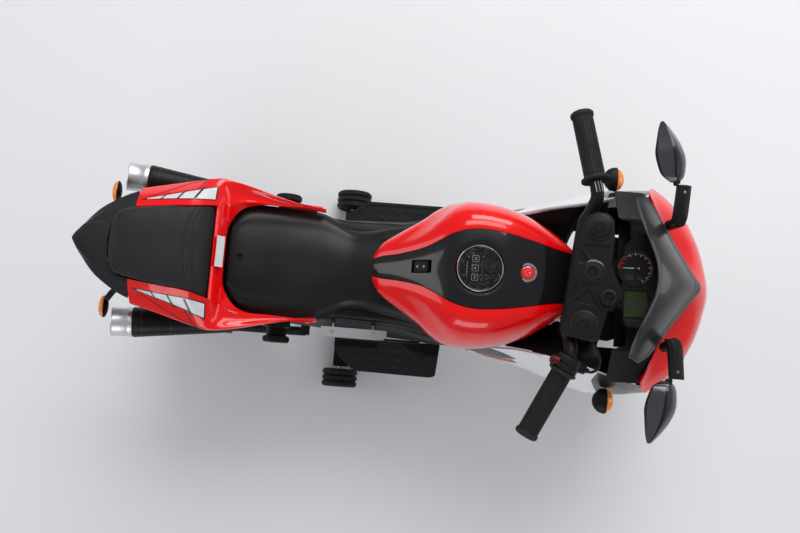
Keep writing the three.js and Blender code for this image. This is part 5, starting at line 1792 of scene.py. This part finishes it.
# ---- wheels ----
def wheel(stem, centre, half, flat, radius, body, steer):
    kw = dict(body=body, steer=steer)
    placed = STEER if steer else Matrix()
    y = V(0, 1, 0)
    edge = half * 0.7
    tread = [[radius - 26, -half * 0.97], [radius - 14, -half], [radius - 6, -half * 0.84],
             [radius - 0.8, -flat - 3], [radius, -flat]]
    for k in range(3):
        at = flat * (-0.5 + 0.5 * k)
        tread += [[radius, at - 1.8], [radius - 3, at - 1], [radius - 3, at + 1], [radius, at + 1.8]]
    tread += [[radius, flat], [radius - 0.8, flat + 3], [radius - 6, half * 0.84], [radius - 14, half],
              [radius - 26, half * 0.97]]
    profile = [[78.3, -edge], [82, -half * 0.78]] + tread + [[82, half * 0.78], [78.3, edge]]
    turned(f"{stem}_tyre_ring", profile, centre, y, TYRE, sides=144, closed=True, slot="tyre_rubber",
           replaces=[f"{stem}_tyre"], smooth=40, **kw)
    lugs = []
    for flip in (1, -1):
        for k in range(36):
            a = 2 * math.pi * (k + (0.5 if flip < 0 else 0)) / 36
            spoke, across = V(math.cos(a), 0, math.sin(a)), V(-math.sin(a), 0, math.cos(a))
            rings = []
            for r, h in ((radius - 3.2, flat + 1.5), (radius - 8, half * 0.74), (radius - 15, half * 0.97)):
                p = centre + spoke * r + y * (h * flip)
                rings.append([p + across * c + spoke * d + y * (e * flip) for c, d, e in
                              ((-2.6, -1.6, -1.6), (2.6, -1.6, -1.6), (2.2, 1.1, 1.1), (-2.2, 1.1, 1.1))])
            lugs.append(loft_mesh(rings))
    joined(f"{stem}_lugs", lugs, TYRE, slot="tyre_rubber", **kw)
    rim = turned(f"{stem}_rim_body",
                 [[8.9, -edge], [19, -edge], [20, -edge + 1.5], [20, -9], [24, -7], [60, -7], [64, -9],
                                      [67, -edge + 3], [70, -edge], [76.6, -edge], [76.6, edge], [70, edge],
                  [67, edge - 3],
                                      [64, 9], [60, 7], [24, 7], [20, 9], [20, edge - 1.5], [19, edge],
                  [8.9, edge]],
                 centre, y, RIM, sides=72, closed=True, slot="rim_silver", replaces=[f"{stem}_rim"], **kw)
    for k in range(5):
        a = 2 * math.pi * k / 5
        hub = centre + V(41 * math.cos(a), 0, 41 * math.sin(a))

        def opening(c, s):
            stretch = 14 + 2.4 * math.cos(3 * (math.atan2(s, c) - a))
            return placed @ (hub + V(stretch * c, h, stretch * s))
        ends = []
        for h in (-14, 14):
            ends.append(circle_of(1, 24, opening))
        carve(rim, cutter(*ends))
        bolt = centre + V(14.4 * math.cos(a), 0, 14.4 * math.sin(a))
        for flip in (1, -1):
            turned(f"{stem}_bolt_{k}_{'l' if flip > 0 else 'r'}", [[2.6, -1], [2.6, 1.2], [0.01, 1.6]],
                   bolt + y * (edge * flip), V(0, flip, 0), STEEL, sides=12, slot="steel", **kw)


# The outline of the dark fork-top covers, which are partly painted shade in the gaps there.
FORK_SHADE_OUTLINE = [(-14, 44), (-24, 58), (-22, 80), (-8, 88), (20, 90), (40, 90), (52, 84), (60, 60), (58, 36),
              (32, 36)]


def fork_shade_covers():
    """Black covers round the top of each fork leg, just under the crown, that turn with it. They close the
    gaps there with dark pieces that stand for the parts below and their shade, so they are partly painted
    shade.
    """
    for side, flip in FLIPS:
        rings = []
        for z, grow in ((444, 0.95), (447, 1), (455, 1), (458, 0.95)):
            mid = head_axis(z)
            rings.append([V(mid.x + x * grow, (66 + (y - 66) * grow) * flip, z) for x, y in FORK_SHADE_OUTLINE])
        cover = closed_loft(f"fork_shade_cover_{side}", rings, SATIN, bevel=2.5, segments=3, **steered())
        carve(cover, cutter(*(circle_of(15, 40, lambda c,
                                        s: STEER @ (head_axis(z) + V(c, FORK_Y * flip + s, 0)))
                              for z in (400, 500))))


BLACK_METAL = brushed("fork_paint", (0.03, 0.03, 0.033), 0.34)
DARK_RED = moulded("dark_red", (0.11, 0.003, 0.005), (0.07, 0.003, 0.004), 0.4, 1600, 0.02)
fork_shade_covers()
crown()
handlebar()
grip("grip_left", 1, "steering")
grip("throttle_grip", -1, "throttle")
throttle_pod()
cable()
forks()
mudguard()
wheel("front", FRONT_AXLE, 34, 8, WHEEL_R - 0.25, "front_wheel", True)
wheel("rear", REAR_AXLE, 40, 15, WHEEL_R, "rear_wheel", False)


# ---- CAD nodes kept as they are, with their own looks ----
KEPT = {
    "front_axle": STEEL, "rear_axle": STEEL, "steering_stem": BLACK_METAL, "steering_head": SATIN,
    "swingarm": SATIN, "gearbox": SATIN, "battery": GREY,
}

for node, look in KEPT.items():
    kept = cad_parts[node].data
    kept.materials.clear()
    kept.materials.append(look)


# ---- camera, floor and light ----
LENS_MM = 40.5
CAMERA_AT = (-0.0701, -0.1887, 1.9784)
SENSOR_MM = 36
CAMERA_TURN = (71.23, -82.38, 4.51)   # azimuth, elevation and roll of the view, in degrees


def camera():
    az, el, roll = (math.radians(a) for a in CAMERA_TURN)
    ahead = V(math.cos(el) * math.cos(az), math.cos(el) * math.sin(az), math.sin(el))
    side = ahead.cross(V(0, 1, 0)).normalized()
    up = side.cross(ahead)
    right = side * math.cos(roll) + up * math.sin(roll)
    upward = -side * math.sin(roll) + up * math.cos(roll)
    data = bpy.data.cameras.new("camera")
    data.lens = LENS_MM
    data.sensor_width = SENSOR_MM
    data.clip_start = 0.01
    eye = bpy.data.objects.new("camera", data)
    turn = Matrix((right, upward, -ahead)).transposed().to_4x4()
    eye.matrix_world = Matrix.Translation(CAMERA_AT) @ turn
    bpy.context.scene.collection.objects.link(eye)
    bpy.context.scene.camera = eye


FLOOR_HALF, FLOOR_Z = 6.0, -0.0005


def floor():
    look = Look("studio_floor", (0.82, 0.82, 0.835), 0.8).vary((0.79, 0.79, 0.81), 1.2, 0.6)
    mesh = bpy.data.meshes.new("floor")
    corners = [(-FLOOR_HALF, -FLOOR_HALF), (FLOOR_HALF, -FLOOR_HALF), (FLOOR_HALF, FLOOR_HALF),
               (-FLOOR_HALF, FLOOR_HALF)]
    mesh.from_pydata([(x, y, FLOOR_Z) for x, y in corners], [], [(0, 1, 2, 3)])
    ground = bpy.data.objects.new("floor", mesh)
    mesh.materials.append(look.done())
    bpy.context.scene.collection.objects.link(ground)


def area(name, place, target, size, watts, tint=(1, 1, 1)):
    data = bpy.data.lights.new(name, "AREA")
    data.shape = "RECTANGLE"
    data.size, data.size_y = size
    data.energy = watts
    data.color = tint
    lamp = bpy.data.objects.new(name, data)
    lamp.location = place
    lamp.rotation_euler = (Vector(target) - Vector(place)).to_track_quat("-Z", "Y").to_euler()
    bpy.context.scene.collection.objects.link(lamp)


def lights():
    area("softbox_left", (0.5, 2.4, 1.9), (0.1, 0, 0.4), (1.8, 1.0), 40)
    area("softbox_right", (-0.2, -2.4, 1.6), (0, 0, 0.4), (2.0, 1.0), 22, (0.97, 0.98, 1))
    area("overhead", (0.1, 1.7, 3.0), (0, 0, 0.3), (2.2, 1.0), 34)
    area("front_fill", (2.8, 0.3, 1.4), (0.2, 0, 0.4), (1.4, 1.4), 14)
    area("rear_fill", (-2.8, 0.2, 1.4), (-0.2, 0, 0.4), (1.4, 1.4), 12)
    world = bpy.data.worlds.new("studio")
    world.use_nodes = True
    sky = world.node_tree.nodes["Background"].inputs
    sky["Color"].default_value = (0.9, 0.92, 0.96, 1)
    sky["Strength"].default_value = 0.3
    bpy.context.scene.world = world
    bpy.context.scene.view_settings.view_transform = "Standard"


camera()
floor()
lights()
